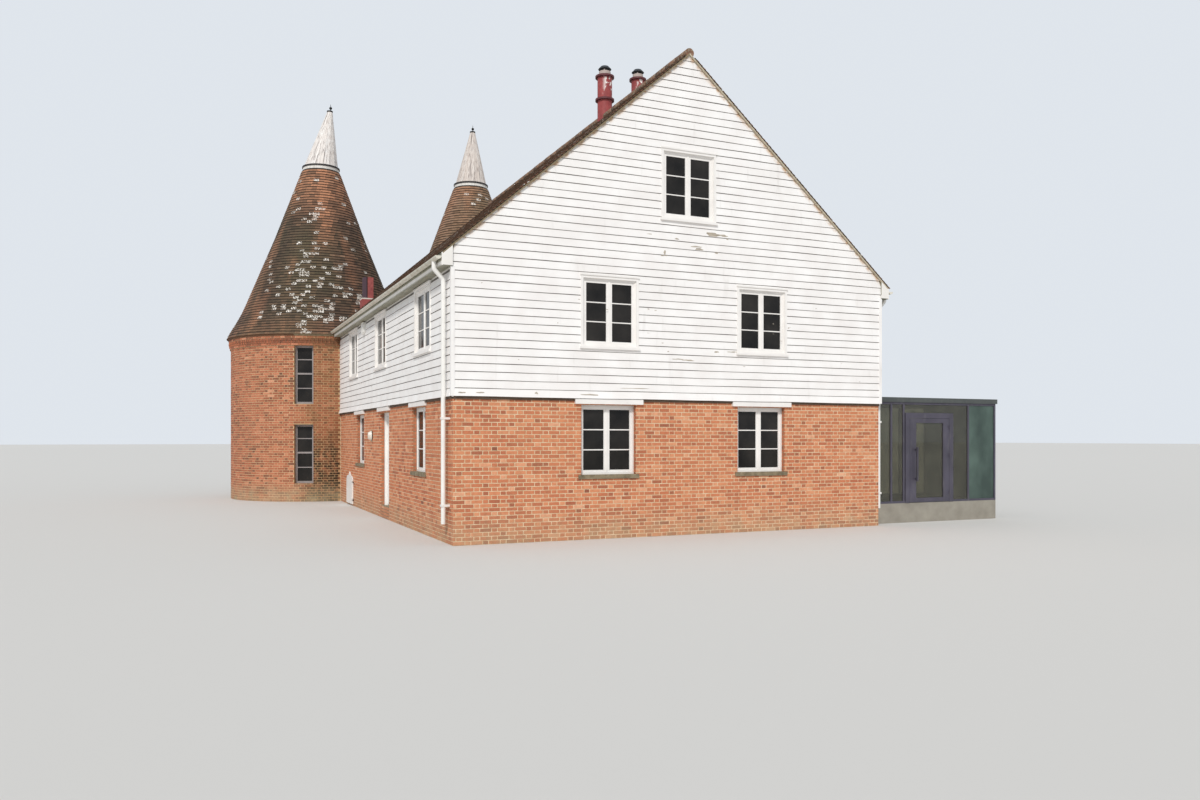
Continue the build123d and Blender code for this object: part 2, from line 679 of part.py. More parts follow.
def window_bearings(hand):
    """Bearings of a roundel's window stacks: the left one also has the stack that faces the gable's side."""
    rear = WINDOW_BEARING - 180
    return (WINDOW_BEARING, rear) if hand == "left" else (rear,)


def throat_block(hand, clearance):
    """The passage sector of a roundel wall, from outside cheek to outside cheek."""
    x = THROAT_OFFSET[hand]
    half = THROAT_OPENING / 2 + CHEEK_WIDTH + clearance
    return block(x - half, x + half, -ROUNDEL_RADIUS - 500, -600, -10, FAR)


def in_wedges(shape, hand, joint_radius, levels):
    """A round piece parted into wedge-shaped bays, each between two heights, with hair joints between them."""
    step = 360 / ROUNDEL_SEGMENTS
    half = step / 2 - math.degrees(SEGMENT_JOINT / 2 / joint_radius)
    bays = []
    for index in range(ROUNDEL_SEGMENTS):
        middle = WINDOW_BEARING + index * step
        for z0, z1 in levels:
            bay = shape & (roundel_place(hand) * sector(middle - half, middle + half, WEDGE_REACH, z0, z1))
            if bay:
                bays += bay.solids()
    return bays


def roundel_wall(hand):
    """The round brick wall of a kiln in segments, cut for its windows and fitted against the stowage."""
    wall = revolved(corbel_profile())
    for bearing in window_bearings(hand):
        wall -= window_slot(bearing, ROUNDEL_UPPER_BOTTOM, ROUNDEL_UPPER_TOP, ROUNDEL_WALL + 100)
        wall -= window_slot(bearing, ROUNDEL_LOWER_BOTTOM, ROUNDEL_LOWER_TOP, ROUNDEL_WALL + 100)
    wall -= throat_block(hand, 0)
    wall = roundel_place(hand) * wall
    wall = (wall - stowage_mass()) & side_trim(hand)
    return in_wedges(wall, hand, ROUNDEL_RADIUS - ROUNDEL_WALL, [(-1, ROUNDEL_WALL_TOP + 1)])


def throat_cheeks(hand):
    """Brick cheeks beside a roundel's inner doorways, from the stowage to the round wall's inner face."""
    x = throat_centre(hand)
    inner = ROUNDEL_RADIUS - ROUNDEL_WALL
    offset = abs(THROAT_OFFSET[hand]) + THROAT_OPENING / 2 + CHEEK_WIDTH
    depth = ROUNDEL_CENTRES[hand][1] - math.sqrt(inner ** 2 - offset ** 2)
    cheeks = []
    for side in (-1, 1):
        x0 = x + side * THROAT_OPENING / 2
        x1 = x + side * (THROAT_OPENING / 2 + CHEEK_WIDTH)
        cheek = block(x0, x1, REAR - BRICK_SETBACK, depth, 0, ROUNDEL_WALL_TOP) - stowage_mass()
        cheeks += (cheek & side_trim(hand)).solids()
    return cheeks


def throat_heads(hand):
    """Brickwork over and under a roundel's inner doorways, between the cheeks."""
    x = throat_centre(hand)
    inner = ROUNDEL_RADIUS - ROUNDEL_WALL
    offset = abs(THROAT_OFFSET[hand]) + THROAT_OPENING / 2 + CHEEK_WIDTH
    depth = ROUNDEL_CENTRES[hand][1] - math.sqrt(inner ** 2 - offset ** 2)
    half = THROAT_OPENING / 2
    pieces = [
        block(x - half, x + half, REAR - BRICK_SETBACK, depth, 0, GROUND_FLOOR_TOP),
        block(x - half, x + half, REAR - BRICK_SETBACK, depth, INNER_DOOR_HEADS[0], FIRST_FLOOR_TOP) - stowage_mass(),
        block(x - half, x + half, REAR - BOARD_LINING, depth, INNER_DOOR_HEADS[1], ROUNDEL_WALL_TOP),
    ]
    return pieces


def roundel_floor(hand, top, depth):
    """A round floor inside a kiln, trimmed to the passage."""
    disc = roundel_place(hand) * Pos(0, 0, top - depth / 2) * Cylinder(ROUNDEL_RADIUS - ROUNDEL_WALL, depth)
    inner = ROUNDEL_RADIUS - ROUNDEL_WALL
    offset = abs(THROAT_OFFSET[hand]) + THROAT_OPENING / 2 + CHEEK_WIDTH
    edge = ROUNDEL_CENTRES[hand][1] - math.sqrt(inner ** 2 - offset ** 2)
    return disc - (roundel_place(hand) * throat_block(hand, 0) & block(-FAR, FAR, -FAR, edge, -10, FAR))


def cone_face():
    """Section of the cone roof: a bell-cast foot and two long stretches, with an even thickness."""
    start, middle, end = ((radius, 0, height) for radius, height in (CONE_EAVES, CONE_BELL, CONE_KNEE))
    foot = ThreePointArc(start, middle, end)
    inner_eaves = ROUNDEL_RADIUS - ROUNDEL_WALL / 2
    line = Polyline(
        (CONE_KNEE[0], 0, CONE_KNEE[1]),
        (CONE_WAIST[0], 0, CONE_WAIST[1]),
        (CONE_TOP[0], 0, CONE_TOP[1]),
        (CONE_THROAT, 0, CONE_TOP[1]),
        (CONE_WAIST[0] - CONE_THICKNESS, 0, CONE_WAIST[1]),
        (CONE_KNEE[0] - CONE_THICKNESS, 0, CONE_KNEE[1]),
        (inner_eaves - CONE_THICKNESS, 0, CONE_BELL[1]),
        (inner_eaves - CONE_THICKNESS, 0, ROUNDEL_WALL_TOP),
        (CONE_EAVES[0] - CONE_TILE_EDGE, 0, ROUNDEL_WALL_TOP),
        (CONE_EAVES[0], 0, CONE_EAVES[1]),
    )
    return make_face(foot + line)


def cone_roof(hand):
    """The conical roof of a kiln in wedge-shaped bays, fitted against the stowage and the other cone."""
    cone = roundel_place(hand) * revolve(cone_face(), Axis.Z)
    cone = (cone - stowage_mass()) & side_trim(hand)
    knee = CONE_KNEE[1]
    levels = [(ROUNDEL_WALL_TOP - 1, knee - SEGMENT_JOINT / 2), (knee + SEGMENT_JOINT / 2, CONE_TOP[1] + 1)]
    return in_wedges(cone, hand, CONE_THROAT, levels)


def kerb(hand):
    """The ring round the mouth of a cone with its bearing beam for the cowl's spindle."""
    base = CONE_TOP[1]
    band = Pos(0, 0, base + KERB_HEIGHT / 2) * Cylinder(KERB_RADIUS, KERB_HEIGHT)
    cap = Pos(0, 0, base + KERB_HEIGHT + KERB_RING_HEIGHT / 2) * Cylinder(KERB_RING_RADIUS, KERB_RING_HEIGHT)
    height = KERB_HEIGHT + KERB_RING_HEIGHT
    throat = Pos(0, 0, base + height / 2) * Cylinder(CONE_THROAT, height + 2)
    body = band + cap - throat
    beam = block(-CONE_THROAT - 10, CONE_THROAT + 10, -BEAM_WIDTH / 2, BEAM_WIDTH / 2, base, base + BEAM_HEIGHT)
    hole = Pos(0, 0, base + BEAM_HEIGHT / 2) * Cylinder(SPINDLE_RADIUS + BEARING_GAP, BEAM_HEIGHT + 2)
    return roundel_place(hand) * (body + beam - hole)


def cowl_base():
    """Height of a cowl's lower edge."""
    return CONE_TOP[1] + KERB_HEIGHT + KERB_RING_HEIGHT + COWL_GAP


def cowl_section(share):
    """Lean towards the opening and radius of a cowl at a share of its height."""
    return COWL_LEAN * share, COWL_BASE_RADIUS + (COWL_TIP_RADIUS - COWL_BASE_RADIUS) * share


def stave_section(bearing, share):
    """Section of one tapered board at a share of the cowl's height, for a board that faces along X."""
    lean, radius = cowl_section(share)
    angle = math.radians(bearing)
    half_angle = math.pi / COWL_STAVES
    flat = radius * math.cos(half_angle)
    half = flat * math.tan(half_angle) - SEGMENT_JOINT / 2
    inner = half - COWL_BOARD * math.tan(half_angle)
    shift_x, shift_y = lean * math.cos(angle), -lean * math.sin(angle)
    z = cowl_base() + COWL_HEIGHT * share
    corners = [(flat, -half), (flat, half), (flat - COWL_BOARD, inner), (flat - COWL_BOARD, -inner)]
    return make_face(Polyline(*[(x + shift_x, y + shift_y, z) for x, y in corners], close=True))


def cowl_place(hand):
    """Placement of a cowl's own frame, turned so that X points through its opening."""
    return roundel_place(hand) * Rot(0, 0, COWL_BEARINGS[hand])


def cowl_staves(hand):
    """Tapered boards of a cowl that leans over its open side, where the boards start below its head."""
    staves = []
    for index in range(COWL_STAVES):
        bearing = (index + 0.5) * 360 / COWL_STAVES
        open_side = index < COWL_OPEN_STAVES / 2 or index >= COWL_STAVES - COWL_OPEN_STAVES / 2
        foot = COWL_OPENING_TOP if open_side else 0
        stave = loft([stave_section(bearing, foot), stave_section(bearing, 1)])
        staves.append(cowl_place(hand) * Rot(0, 0, bearing) * stave)
    return staves


def cowl_inside(share):
    """A plate that fills a cowl between its boards, from a share of its height up by one frame's height."""
    sections = []
    for level in (share, share + COWL_FRAME_HEIGHT / COWL_HEIGHT):
        lean, radius = cowl_section(level)
        corner = radius - COWL_BOARD / math.cos(math.pi / COWL_STAVES)
        turns = [index * 2 * math.pi / COWL_STAVES for index in range(COWL_STAVES)]
        z = cowl_base() + COWL_HEIGHT * level
        outline = [(lean + corner * math.cos(turn), corner * math.sin(turn), z) for turn in turns]
        sections.append(make_face(Polyline(*outline, close=True)))
    return loft(sections)


def cowl_spindle(hand):
    """Spindle with the two frames that carry a cowl's boards, and the cap and ball finial at its tip."""
    base = cowl_base()
    tail = CONE_TOP[1] - SPINDLE_TAIL
    low, high = (base + COWL_HEIGHT * share for share in COWL_FRAMES)
    body = Pos(0, 0, (tail + high) / 2) * Cylinder(SPINDLE_RADIUS, high - tail)
    arms = block(-FAR, 0, -ARM_WIDTH / 2, ARM_WIDTH / 2, low, low + COWL_FRAME_HEIGHT)
    arms += block(-ARM_WIDTH / 2, ARM_WIDTH / 2, -FAR, FAR, low, low + COWL_FRAME_HEIGHT)
    body += arms & cowl_inside(COWL_FRAMES[0])
    body += cowl_inside(COWL_FRAMES[1])
    tip = base + COWL_HEIGHT
    rod_top = tip + COWL_CAP_HEIGHT + FINIAL_RISE
    finial_x = COWL_LEAN + FINIAL_ASIDE
    cap = Pos(COWL_LEAN, 0, tip + COWL_CAP_HEIGHT / 2) * Cylinder(COWL_TIP_RADIUS + 14, COWL_CAP_HEIGHT)
    cap += Pos(finial_x, 0, (tip + COWL_CAP_HEIGHT / 2 + rod_top) / 2) * Cylinder(9, rod_top - tip - COWL_CAP_HEIGHT / 2)
    cap += Pos(finial_x, 0, rod_top) * Sphere(FINIAL_RADIUS)
    cap += Pos(finial_x, 0, rod_top + FINIAL_RADIUS + 40) * Cone(11, 4, 100)
    return [cowl_place(hand) * body, cowl_place(hand) * cap]


def flue(place, radius, top):
    """A round flue with two collars, a narrower neck and a rain cap on legs, seated on the roof."""
    x, y = place
    foot = APEX - (abs(x) + radius + FLUE_COLLAR) * SLOPE - 50
    body = Pos(0, 0, (foot + top) / 2) * Cylinder(radius, top - foot)
    for level in (top - FLUE_COLLAR_HEIGHT, top - FLUE_COLLAR_SPACING - FLUE_COLLAR_HEIGHT):
        if level > foot:
            body += Pos(0, 0, level + FLUE_COLLAR_HEIGHT / 2) * Cylinder(radius + FLUE_COLLAR, FLUE_COLLAR_HEIGHT)
    body += Pos(0, 0, top + FLUE_NECK / 2) * Cylinder(radius * 0.8, FLUE_NECK)
    cap_z = top + FLUE_NECK + CAP_GAP
    body += Pos(0, 0, cap_z + CAP_THICKNESS / 2) * Cone(CAP_RADIUS, CAP_RADIUS * 0.6, CAP_THICKNESS)
    for turn in (0, 120, 240):
        body += Rot(0, 0, turn) * Pos(radius * 0.6, 0, top + FLUE_NECK + CAP_GAP / 2) * Box(12, 30, CAP_GAP)
    return Pos(x, y, 0) * body - roof_mass()


def small_chimney():
    """A slim square chimney on a wider base near the left eaves, open by a slot in its side."""
    x, y = CHIMNEY_PLACE
    half = CHIMNEY_SIZE / 2
    body = block(x - half, x + half, y - half, y + half, EAVES_LINE, CHIMNEY_TOP)
    slot = CHIMNEY_SLOT_DEPTH
    body -= block(x - half - 1, x - half + slot, y - slot, y + slot, CHIMNEY_BASE_TOP + CHIMNEY_SLOT_EDGE,
                  CHIMNEY_TOP - CHIMNEY_SLOT_EDGE)
    wide = CHIMNEY_BASE / 2
    body += block(x - wide, x + wide, y - wide, y + wide, EAVES_LINE, CHIMNEY_BASE_TOP)
    return body - roof_mass()


def link_place():
    """Placement of the link's own frame: x from the stowage to the right, y inwards from its front, z up."""
    return Pos(RIGHT - BOARD_LINING, FRONT + LINK_FRONT, 0)


def link_frame():
    """Posts at the front and rear of the link, sole and head rails, the end posts and the door's frame."""
    head = LINK_HEIGHT - LINK_ROOF
    half = LINK_POST / 2
    body = block(0, LINK_LENGTH, 0, LINK_POST, head - LINK_POST, head)
    body += block(0, LINK_LENGTH, LINK_DEPTH - LINK_POST, LINK_DEPTH, head - LINK_POST, head)
    body += block(LINK_LENGTH - LINK_POST, LINK_LENGTH, 0, LINK_DEPTH, head - LINK_POST, head)
    body += block(0, LINK_DOOR_LEFT, 0, LINK_POST, LINK_FLOOR_TOP, LINK_FLOOR_TOP + LINK_POST)
    body += block(LINK_DOOR_LEFT + LINK_DOOR_WIDTH, LINK_LENGTH, 0, LINK_POST, LINK_FLOOR_TOP, LINK_FLOOR_TOP + LINK_POST)
    body += block(0, LINK_LENGTH, LINK_DEPTH - LINK_POST, LINK_DEPTH, LINK_FLOOR_TOP, LINK_FLOOR_TOP + LINK_POST)
    body += block(LINK_LENGTH - LINK_POST, LINK_LENGTH, 0, LINK_DEPTH, LINK_FLOOR_TOP, LINK_FLOOR_TOP + LINK_POST)
    for place in LINK_POST_PLACES:
        body += block(place - half, place + half, 0, LINK_POST, LINK_FLOOR_TOP, head)
        body += block(place - half, place + half, LINK_DEPTH - LINK_POST, LINK_DEPTH, LINK_FLOOR_TOP, head)
    brick_face = BOARD_LINING - BRICK_SETBACK
    for y0 in (0, LINK_DEPTH - LINK_POST):
        body += block(brick_face, LINK_POST, y0, y0 + LINK_POST, LINK_FLOOR_TOP, BRICK_STOREY)
    x0 = LINK_DOOR_LEFT
    x1 = LINK_DOOR_LEFT + LINK_DOOR_WIDTH
    body += block(x0, x0 + LINK_JAMB, -10, LINK_POST + 10, LINK_FLOOR_TOP, LINK_DOOR_TOP)
    body += block(x1 - LINK_JAMB, x1, -10, LINK_POST + 10, LINK_FLOOR_TOP, LINK_DOOR_TOP)
    body += block(x0, x1, -10, LINK_POST + 10, LINK_DOOR_TOP - LINK_JAMB, LINK_DOOR_TOP)
    x, heights = link_door_hinges()
    for z in heights:
        body += frame_hinge(x, -10, z, -1, 1)
    return link_place() * body


def link_glass_sheets():
    """Fixed sheets of the link, each held in the grooves of its posts and rails."""
    head = LINK_HEIGHT - LINK_ROOF - LINK_POST
    foot = LINK_FLOOR_TOP + LINK_POST
    y0 = LINK_GLASS_SETBACK
    y1 = y0 + LINK_GLASS
    half = LINK_POST / 2
    edges = [place + half for place in LINK_POST_PLACES]
    sheets = [
        block(edges[0], edges[1] - LINK_POST, y0, y1, foot, head),
        block(edges[1], edges[2] - LINK_POST, y0, y1, foot, head),
        block(edges[2], LINK_POST_PLACES[3] - half, y0, y1, LINK_DOOR_TOP, head),
        block(LINK_DOOR_LEFT + LINK_DOOR_WIDTH, LINK_POST_PLACES[3] - half, y0, y1, foot, LINK_DOOR_TOP),
    ]
    rear0 = LINK_DEPTH - LINK_GLASS_SETBACK - LINK_GLASS
    for index in range(len(LINK_POST_PLACES) - 1):
        sheets.append(block(edges[index], LINK_POST_PLACES[index + 1] - half, rear0, rear0 + LINK_GLASS, foot, head))
    front = sheets[2] + sheets[3]
    sheets[2:4] = [front]
    return [link_place() * sheet for sheet in sheets]


def link_panel():
    """The obscured sheet at the right of the front and the closed right end."""
    head = LINK_HEIGHT - LINK_ROOF - LINK_POST
    foot = LINK_FLOOR_TOP + LINK_POST
    half = LINK_POST / 2
    front = block(LINK_POST_PLACES[3] + half, LINK_POST_PLACES[4] - half, LINK_GLASS_SETBACK,
                  LINK_GLASS_SETBACK + LINK_GLASS, foot, head)
    x1 = LINK_LENGTH - LINK_GLASS_SETBACK
    end = block(x1 - LINK_GLASS, x1, LINK_POST, LINK_DEPTH - LINK_POST, foot, head)
    return [link_place() * front, link_place() * end]


def link_door():
    """The link's glazed door leaf with its pull handle, hung on the right and opening outwards."""
    x0 = LINK_DOOR_LEFT + LINK_JAMB + LEAF_GAP
    x1 = LINK_DOOR_LEFT + LINK_DOOR_WIDTH - LINK_JAMB - LEAF_GAP
    z0 = LINK_FLOOR_TOP + LEAF_FLOOR_GAP
    z1 = LINK_DOOR_TOP - LINK_JAMB - LEAF_GAP
    y0 = -10
    y1 = y0 + LINK_DOOR_THICKNESS
    body = block(x0, x1, y0, y1, z0, z1)
    body -= block(x0 + LINK_STILE, x1 - LINK_STILE, y0 - 1, y1 + 1, z0 + LINK_RAIL, z1 - LINK_RAIL)
    pull_x = x0 + LINK_STILE - 45
    body += block(pull_x, pull_x + PULL_SIZE, y0 - PULL_STANDOFF - PULL_SIZE, y0 - PULL_STANDOFF, PULL_BOTTOM, PULL_TOP)
    for z in (PULL_BOTTOM + 40, PULL_TOP - 80):
        body += block(pull_x, pull_x + PULL_SIZE, y0 - PULL_STANDOFF - 1, y0, z, z + 40)
    x, heights = link_door_hinges()
    for z in heights:
        body += leaf_hinge(x, y0, z, -1, 1)
    return link_place() * body


def link_door_pane():
    """The glass of the link's door."""
    x0 = LINK_DOOR_LEFT + LINK_JAMB + LEAF_GAP + LINK_STILE
    x1 = LINK_DOOR_LEFT + LINK_DOOR_WIDTH - LINK_JAMB - LEAF_GAP - LINK_STILE
    z0 = LINK_FLOOR_TOP + LEAF_FLOOR_GAP + LINK_RAIL
    z1 = LINK_DOOR_TOP - LINK_JAMB - LEAF_GAP - LINK_RAIL
    y = -10 + LINK_DOOR_THICKNESS / 2
    return link_place() * block(x0, x1, y - LINK_GLASS, y + LINK_GLASS, z0, z1)


def frame_hinge(x, face, z, out, hand):
    """Frame half of a lift-off hinge: flap, lower knuckle and upright pin. Out is the side the face looks to."""
    y = face + out * (KNUCKLE_RADIUS + HINGE_FACE_GAP)
    half = block(x, x + hand * HINGE_FLAP, face, face + out * HINGE_PLATE, z, z + HINGE_HALF)
    half += block(x - PIN_RADIUS / 2, x + PIN_RADIUS / 2, face, y, z, z + HINGE_HALF)
    half += Pos(x, y, z + HINGE_HALF / 2) * Cylinder(KNUCKLE_RADIUS, HINGE_HALF)
    half += Pos(x, y, z + HINGE_HALF * 0.95) * Cylinder(PIN_RADIUS, HINGE_HALF * 1.9)
    return half


def leaf_hinge(x, face, z, out, hand):
    """Leaf half of a lift-off hinge: flap and bored upper knuckle, resting over the frame's half."""
    y = face + out * (KNUCKLE_RADIUS + HINGE_FACE_GAP)
    z0 = z + HINGE_HALF + PIN_GAP
    half = block(x, x - hand * HINGE_FLAP, face, face + out * HINGE_PLATE, z0, z0 + HINGE_HALF)
    half += block(x - PIN_RADIUS / 2, x + PIN_RADIUS / 2, face, y, z0, z0 + HINGE_HALF)
    half += Pos(x, y, z0 + HINGE_HALF / 2) * Cylinder(KNUCKLE_RADIUS, HINGE_HALF)
    return half - Pos(x, y, z0 + HINGE_HALF / 2) * Cylinder(PIN_RADIUS + PIN_GAP, HINGE_HALF + 2)


def side_door_hinges():
    """Place and heights of the side door's hinges on its far jamb, in its opening's frame."""
    x = -(DOOR_WIDTH / 2 - DOOR_JAMB - LEAF_GAP / 2)
    heights = (GROUND_FLOOR_TOP + 230, (GROUND_FLOOR_TOP + DOOR_HEAD) / 2, DOOR_HEAD - 380)
    return x, heights


def link_door_hinges():
    """Place and heights of the link door's hinges on its right jamb, in the link's frame."""
    x = LINK_DOOR_LEFT + LINK_DOOR_WIDTH - LINK_JAMB - LEAF_GAP / 2
    heights = (LINK_FLOOR_TOP + 180, (LINK_FLOOR_TOP + LINK_DOOR_TOP) / 2, LINK_DOOR_TOP - 380)
    return x, heights


def door_frame():
    """Rebated frame of the side door, flush with the inner face of the wall."""
    inner = BRICK_INNER
    outer = inner - DOOR_FRAME_DEPTH
    stop = inner - LEAF_THICKNESS - LEAF_GAP
    half = DOOR_WIDTH / 2
    shell = block(-half, half, outer, inner, GROUND_FLOOR_TOP, DOOR_HEAD)
    wide = half - DOOR_JAMB
    narrow = wide - DOOR_REBATE
    shell -= block(-wide, wide, stop, inner + 1, GROUND_FLOOR_TOP - 1, DOOR_HEAD - DOOR_JAMB)
    shell -= block(-narrow, narrow, outer - 1, inner + 1, GROUND_FLOOR_TOP - 1, DOOR_HEAD - DOOR_JAMB - DOOR_REBATE)
    x, heights = side_door_hinges()
    for z in heights:
        shell += frame_hinge(x, inner, z, 1, -1)
    return on_wall("left") * Pos(-DOOR_PLACE, 0, 0) * shell


def side_door():
    """The boarded leaf of the side door with a lever handle outside."""
    half = DOOR_WIDTH / 2 - DOOR_JAMB - LEAF_GAP
    z0 = GROUND_FLOOR_TOP + LEAF_FLOOR_GAP
    z1 = DOOR_HEAD - DOOR_JAMB - LEAF_GAP
    y1 = BRICK_INNER
    y0 = y1 - LEAF_THICKNESS
    leaf = block(-half, half, y0, y1, z0, z1)
    leaf += Pos(half - 70, y0 - 20, z0 + 1000) * Rot(90, 0, 0) * Cylinder(9, 42)
    leaf += block(half - 180, half - 60, y0 - 46, y0 - 34, z0 + 990, z0 + 1010)
    x, heights = side_door_hinges()
    for z in heights:
        leaf += leaf_hinge(x, y1, z, 1, -1)
    return on_wall("left") * Pos(-DOOR_PLACE, 0, 0) * leaf


def hatch():
    """The low white hatch with its pointed ogee top, standing off the brick on its strap hinges."""
    half = HATCH_WIDTH / 2
    y0 = BRICK_SETBACK - HATCH_STANDOFF - HATCH_THICKNESS
    rise = HATCH_PEAK - HATCH_SHOULDER
    mid = (half / 2, HATCH_SHOULDER + rise / 2)
    outline = Line((-half, y0, HATCH_BOTTOM), (half, y0, HATCH_BOTTOM))
    outline += Line((half, y0, HATCH_BOTTOM), (half, y0, HATCH_SHOULDER))
    outline += ThreePointArc((half, y0, HATCH_SHOULDER), (half * 0.8, y0, HATCH_SHOULDER + rise * 0.36), (mid[0], y0, mid[1]))
    outline += ThreePointArc((mid[0], y0, mid[1]), (half * 0.2, y0, HATCH_SHOULDER + rise * 0.64), (0, y0, HATCH_PEAK))
    outline += ThreePointArc((0, y0, HATCH_PEAK), (-half * 0.2, y0, HATCH_SHOULDER + rise * 0.64), (-mid[0], y0, mid[1]))
    outline += ThreePointArc((-mid[0], y0, mid[1]), (-half * 0.8, y0, HATCH_SHOULDER + rise * 0.36), (-half, y0, HATCH_SHOULDER))
    outline += Line((-half, y0, HATCH_SHOULDER), (-half, y0, HATCH_BOTTOM))
    leaf = extrude(make_face(outline), amount=HATCH_THICKNESS, dir=(0, 1, 0))
    axis_y = y0 - STRAP_THICKNESS / 2
    for z in (HATCH_BOTTOM + 130, HATCH_SHOULDER - 60):
        leaf += block(half - STRAP_LENGTH, half + PINTLE_REACH, y0 - STRAP_THICKNESS, y0, z, z + STRAP_WIDTH)
        eye = Pos(half + PINTLE_REACH, axis_y, z + STRAP_WIDTH / 2)
        leaf += eye * Cylinder(STRAP_EYE_RADIUS, STRAP_WIDTH)
        leaf -= eye * Cylinder(PIN_RADIUS + PIN_GAP, STRAP_WIDTH + 2)
    leaf += block(-half + 40, -half + 150, y0 - 12, y0, 430, 470)
    return on_wall("left") * Pos(-HATCH_PLACE, 0, 0) * leaf


def hatch_pins():
    """Pintles on the brick that carry the hatch: a plate, an arm under the strap's eye and an upright pin."""
    x = HATCH_WIDTH / 2 + PINTLE_REACH
    axis_y = BRICK_SETBACK - HATCH_STANDOFF - HATCH_THICKNESS - STRAP_THICKNESS / 2
    pintles = []
    for z in (HATCH_BOTTOM + 130, HATCH_SHOULDER - 60):
        top = z - PIN_GAP
        piece = block(x - PINTLE_ARM, x + 3 * PINTLE_ARM, BRICK_SETBACK - PINTLE_PLATE, BRICK_SETBACK,
                      top - 2 * PINTLE_ARM, top)
        piece += block(x - PINTLE_ARM / 2, x + PINTLE_ARM / 2, axis_y, BRICK_SETBACK, top - PINTLE_ARM, top)
        piece += Pos(x, axis_y, top - PINTLE_ARM / 2) * Cylinder(STRAP_EYE_RADIUS, PINTLE_ARM)
        piece += Pos(x, axis_y, top + STRAP_WIDTH / 2) * Cylinder(PIN_RADIUS, STRAP_WIDTH + 10)
        pintles.append(on_wall("left") * Pos(-HATCH_PLACE, 0, 0) * piece)
    return pintles


def wall_lamp():
    """An oval bulkhead lamp: a flat base with a domed cover."""
    base = Pos(0, BRICK_SETBACK - 15, 0) * Rot(90, 0, 0) * extrude(Ellipse(LAMP_WIDTH / 2, LAMP_TALL / 2), 15, both=True)
    dome = Pos(0, BRICK_SETBACK - 30, 0) * Rot(90, 0, 0) * extrude(
        Ellipse(LAMP_WIDTH / 2 - 12, LAMP_TALL / 2 - 12), LAMP_DEPTH - 30, taper=22)
    return on_wall("left") * Pos(-LAMP_PLACE, 0, LAMP_HEIGHT) * (base + dome)


def alarm_box():
    """A small white box high on the left wall, its foot cut to a point."""
    half = BOX_WIDTH / 2
    front = BOARD_LINING - BOX_DEPTH
    body = block(-half, half, front, BOARD_LINING, BOX_BOTTOM, BOX_BOTTOM + BOX_HEIGHT)
    cut = 70
    for side in (-1, 1):
        wedge = make_face(Polyline((side * half, front - 1, BOX_BOTTOM), (side * half, front - 1, BOX_BOTTOM + cut),
                                   (side * 20, front - 1, BOX_BOTTOM), close=True))
        body -= extrude(wedge, amount=BOX_DEPTH + 2, dir=(0, 1, 0))
    return on_wall("left") * Pos(-BOX_PLACE, 0, 0) * body


def valley_lead():
    """The lead flat that closes the gap between the two round walls and the stowage."""
    x0 = throat_centre("left")
    x1 = throat_centre("right")
    y1 = ROUNDEL_Y - VALLEY_REACH * ROUNDEL_RADIUS
    slab = block(x0, x1, REAR - BOARD_LINING, y1, ROUNDEL_WALL_TOP - VALLEY_FOOT, ROUNDEL_WALL_TOP - VALLEY_TOP)
    for side in ROUNDEL_CENTRES:
        keep_out = ROUNDEL_RADIUS + 8 * CORBEL_STEP
        slab -= roundel_place(side) * Pos(0, 0, ROUNDEL_WALL_TOP) * Cylinder(keep_out, 1000)
        slab -= roundel_place(side) * throat_block(side, 1)
    return slab


def roundel_window(bearing, bottom, top):
    """A narrow metal window with one tall light."""
    width = ROUNDEL_WINDOW_WIDTH
    y0 = ROUNDEL_REVEAL
    frame = ring(width, top - bottom, ROUNDEL_FRAME_BORDER, y0, y0 + ROUNDEL_FRAME_DEPTH)
    return Rot(0, 0, bearing) * Pos(ROUNDEL_RADIUS, 0, bottom) * Rot(0, 0, 90) * frame


def roundel_pane(bearing, bottom, top):
    """The glass of a roundel window."""
    half = ROUNDEL_WINDOW_WIDTH / 2 - ROUNDEL_FRAME_BORDER
    y0 = ROUNDEL_REVEAL + ROUNDEL_FRAME_DEPTH / 2
    pane = block(-half, half, y0, y0 + GLASS_THICKNESS, ROUNDEL_FRAME_BORDER, top - bottom - ROUNDEL_FRAME_BORDER)
    return Rot(0, 0, bearing) * Pos(ROUNDEL_RADIUS, 0, bottom) * Rot(0, 0, 90) * pane


def roundel_glazing(piece):
    """Frames or panes of every roundel window."""
    made = []
    for hand in ROUNDEL_CENTRES:
        for bearing in window_bearings(hand):
            for bottom, top in ((ROUNDEL_LOWER_BOTTOM, ROUNDEL_LOWER_TOP), (ROUNDEL_UPPER_BOTTOM, ROUNDEL_UPPER_TOP)):
                made.append(roundel_place(hand) * piece(bearing, bottom, top))
    return made


def windows_of(side):
    """All window joinery of one side of the stowage."""
    made = []
    for window_side, place, bottom, width, height in CASED_WINDOWS:
        if window_side == side:
            made.append(on_wall(side) * Pos(place, 0, bottom) * cased_window(width, height))
    for window_side, place, width in BRICK_WINDOWS:
        if window_side == side:
            made.append(on_wall(side) * Pos(place, 0, LOWER_WINDOW_BOTTOM) *
                        casement(width, LOWER_WINDOW_HEIGHT, BRICK_SETBACK + REVEAL_DEPTH - FRAME_SETBACK))
    return made


def all_panes():
    """All window glass of the stowage."""
    made = []
    for side, place, bottom, width, height in CASED_WINDOWS:
        hole_width, hole_height = boarded_opening(width, height)
        border = (width - hole_width) / 2
        for pane in casement_glass(hole_width, hole_height, BOARD_LINING):
            made.append(on_wall(side) * Pos(place, 0, bottom + border) * pane)
    for side, place, width in BRICK_WINDOWS:
        for pane in casement_glass(width, LOWER_WINDOW_HEIGHT, BRICK_SETBACK + REVEAL_DEPTH - FRAME_SETBACK):
            made.append(on_wall(side) * Pos(place, 0, LOWER_WINDOW_BOTTOM) * pane)
    return made


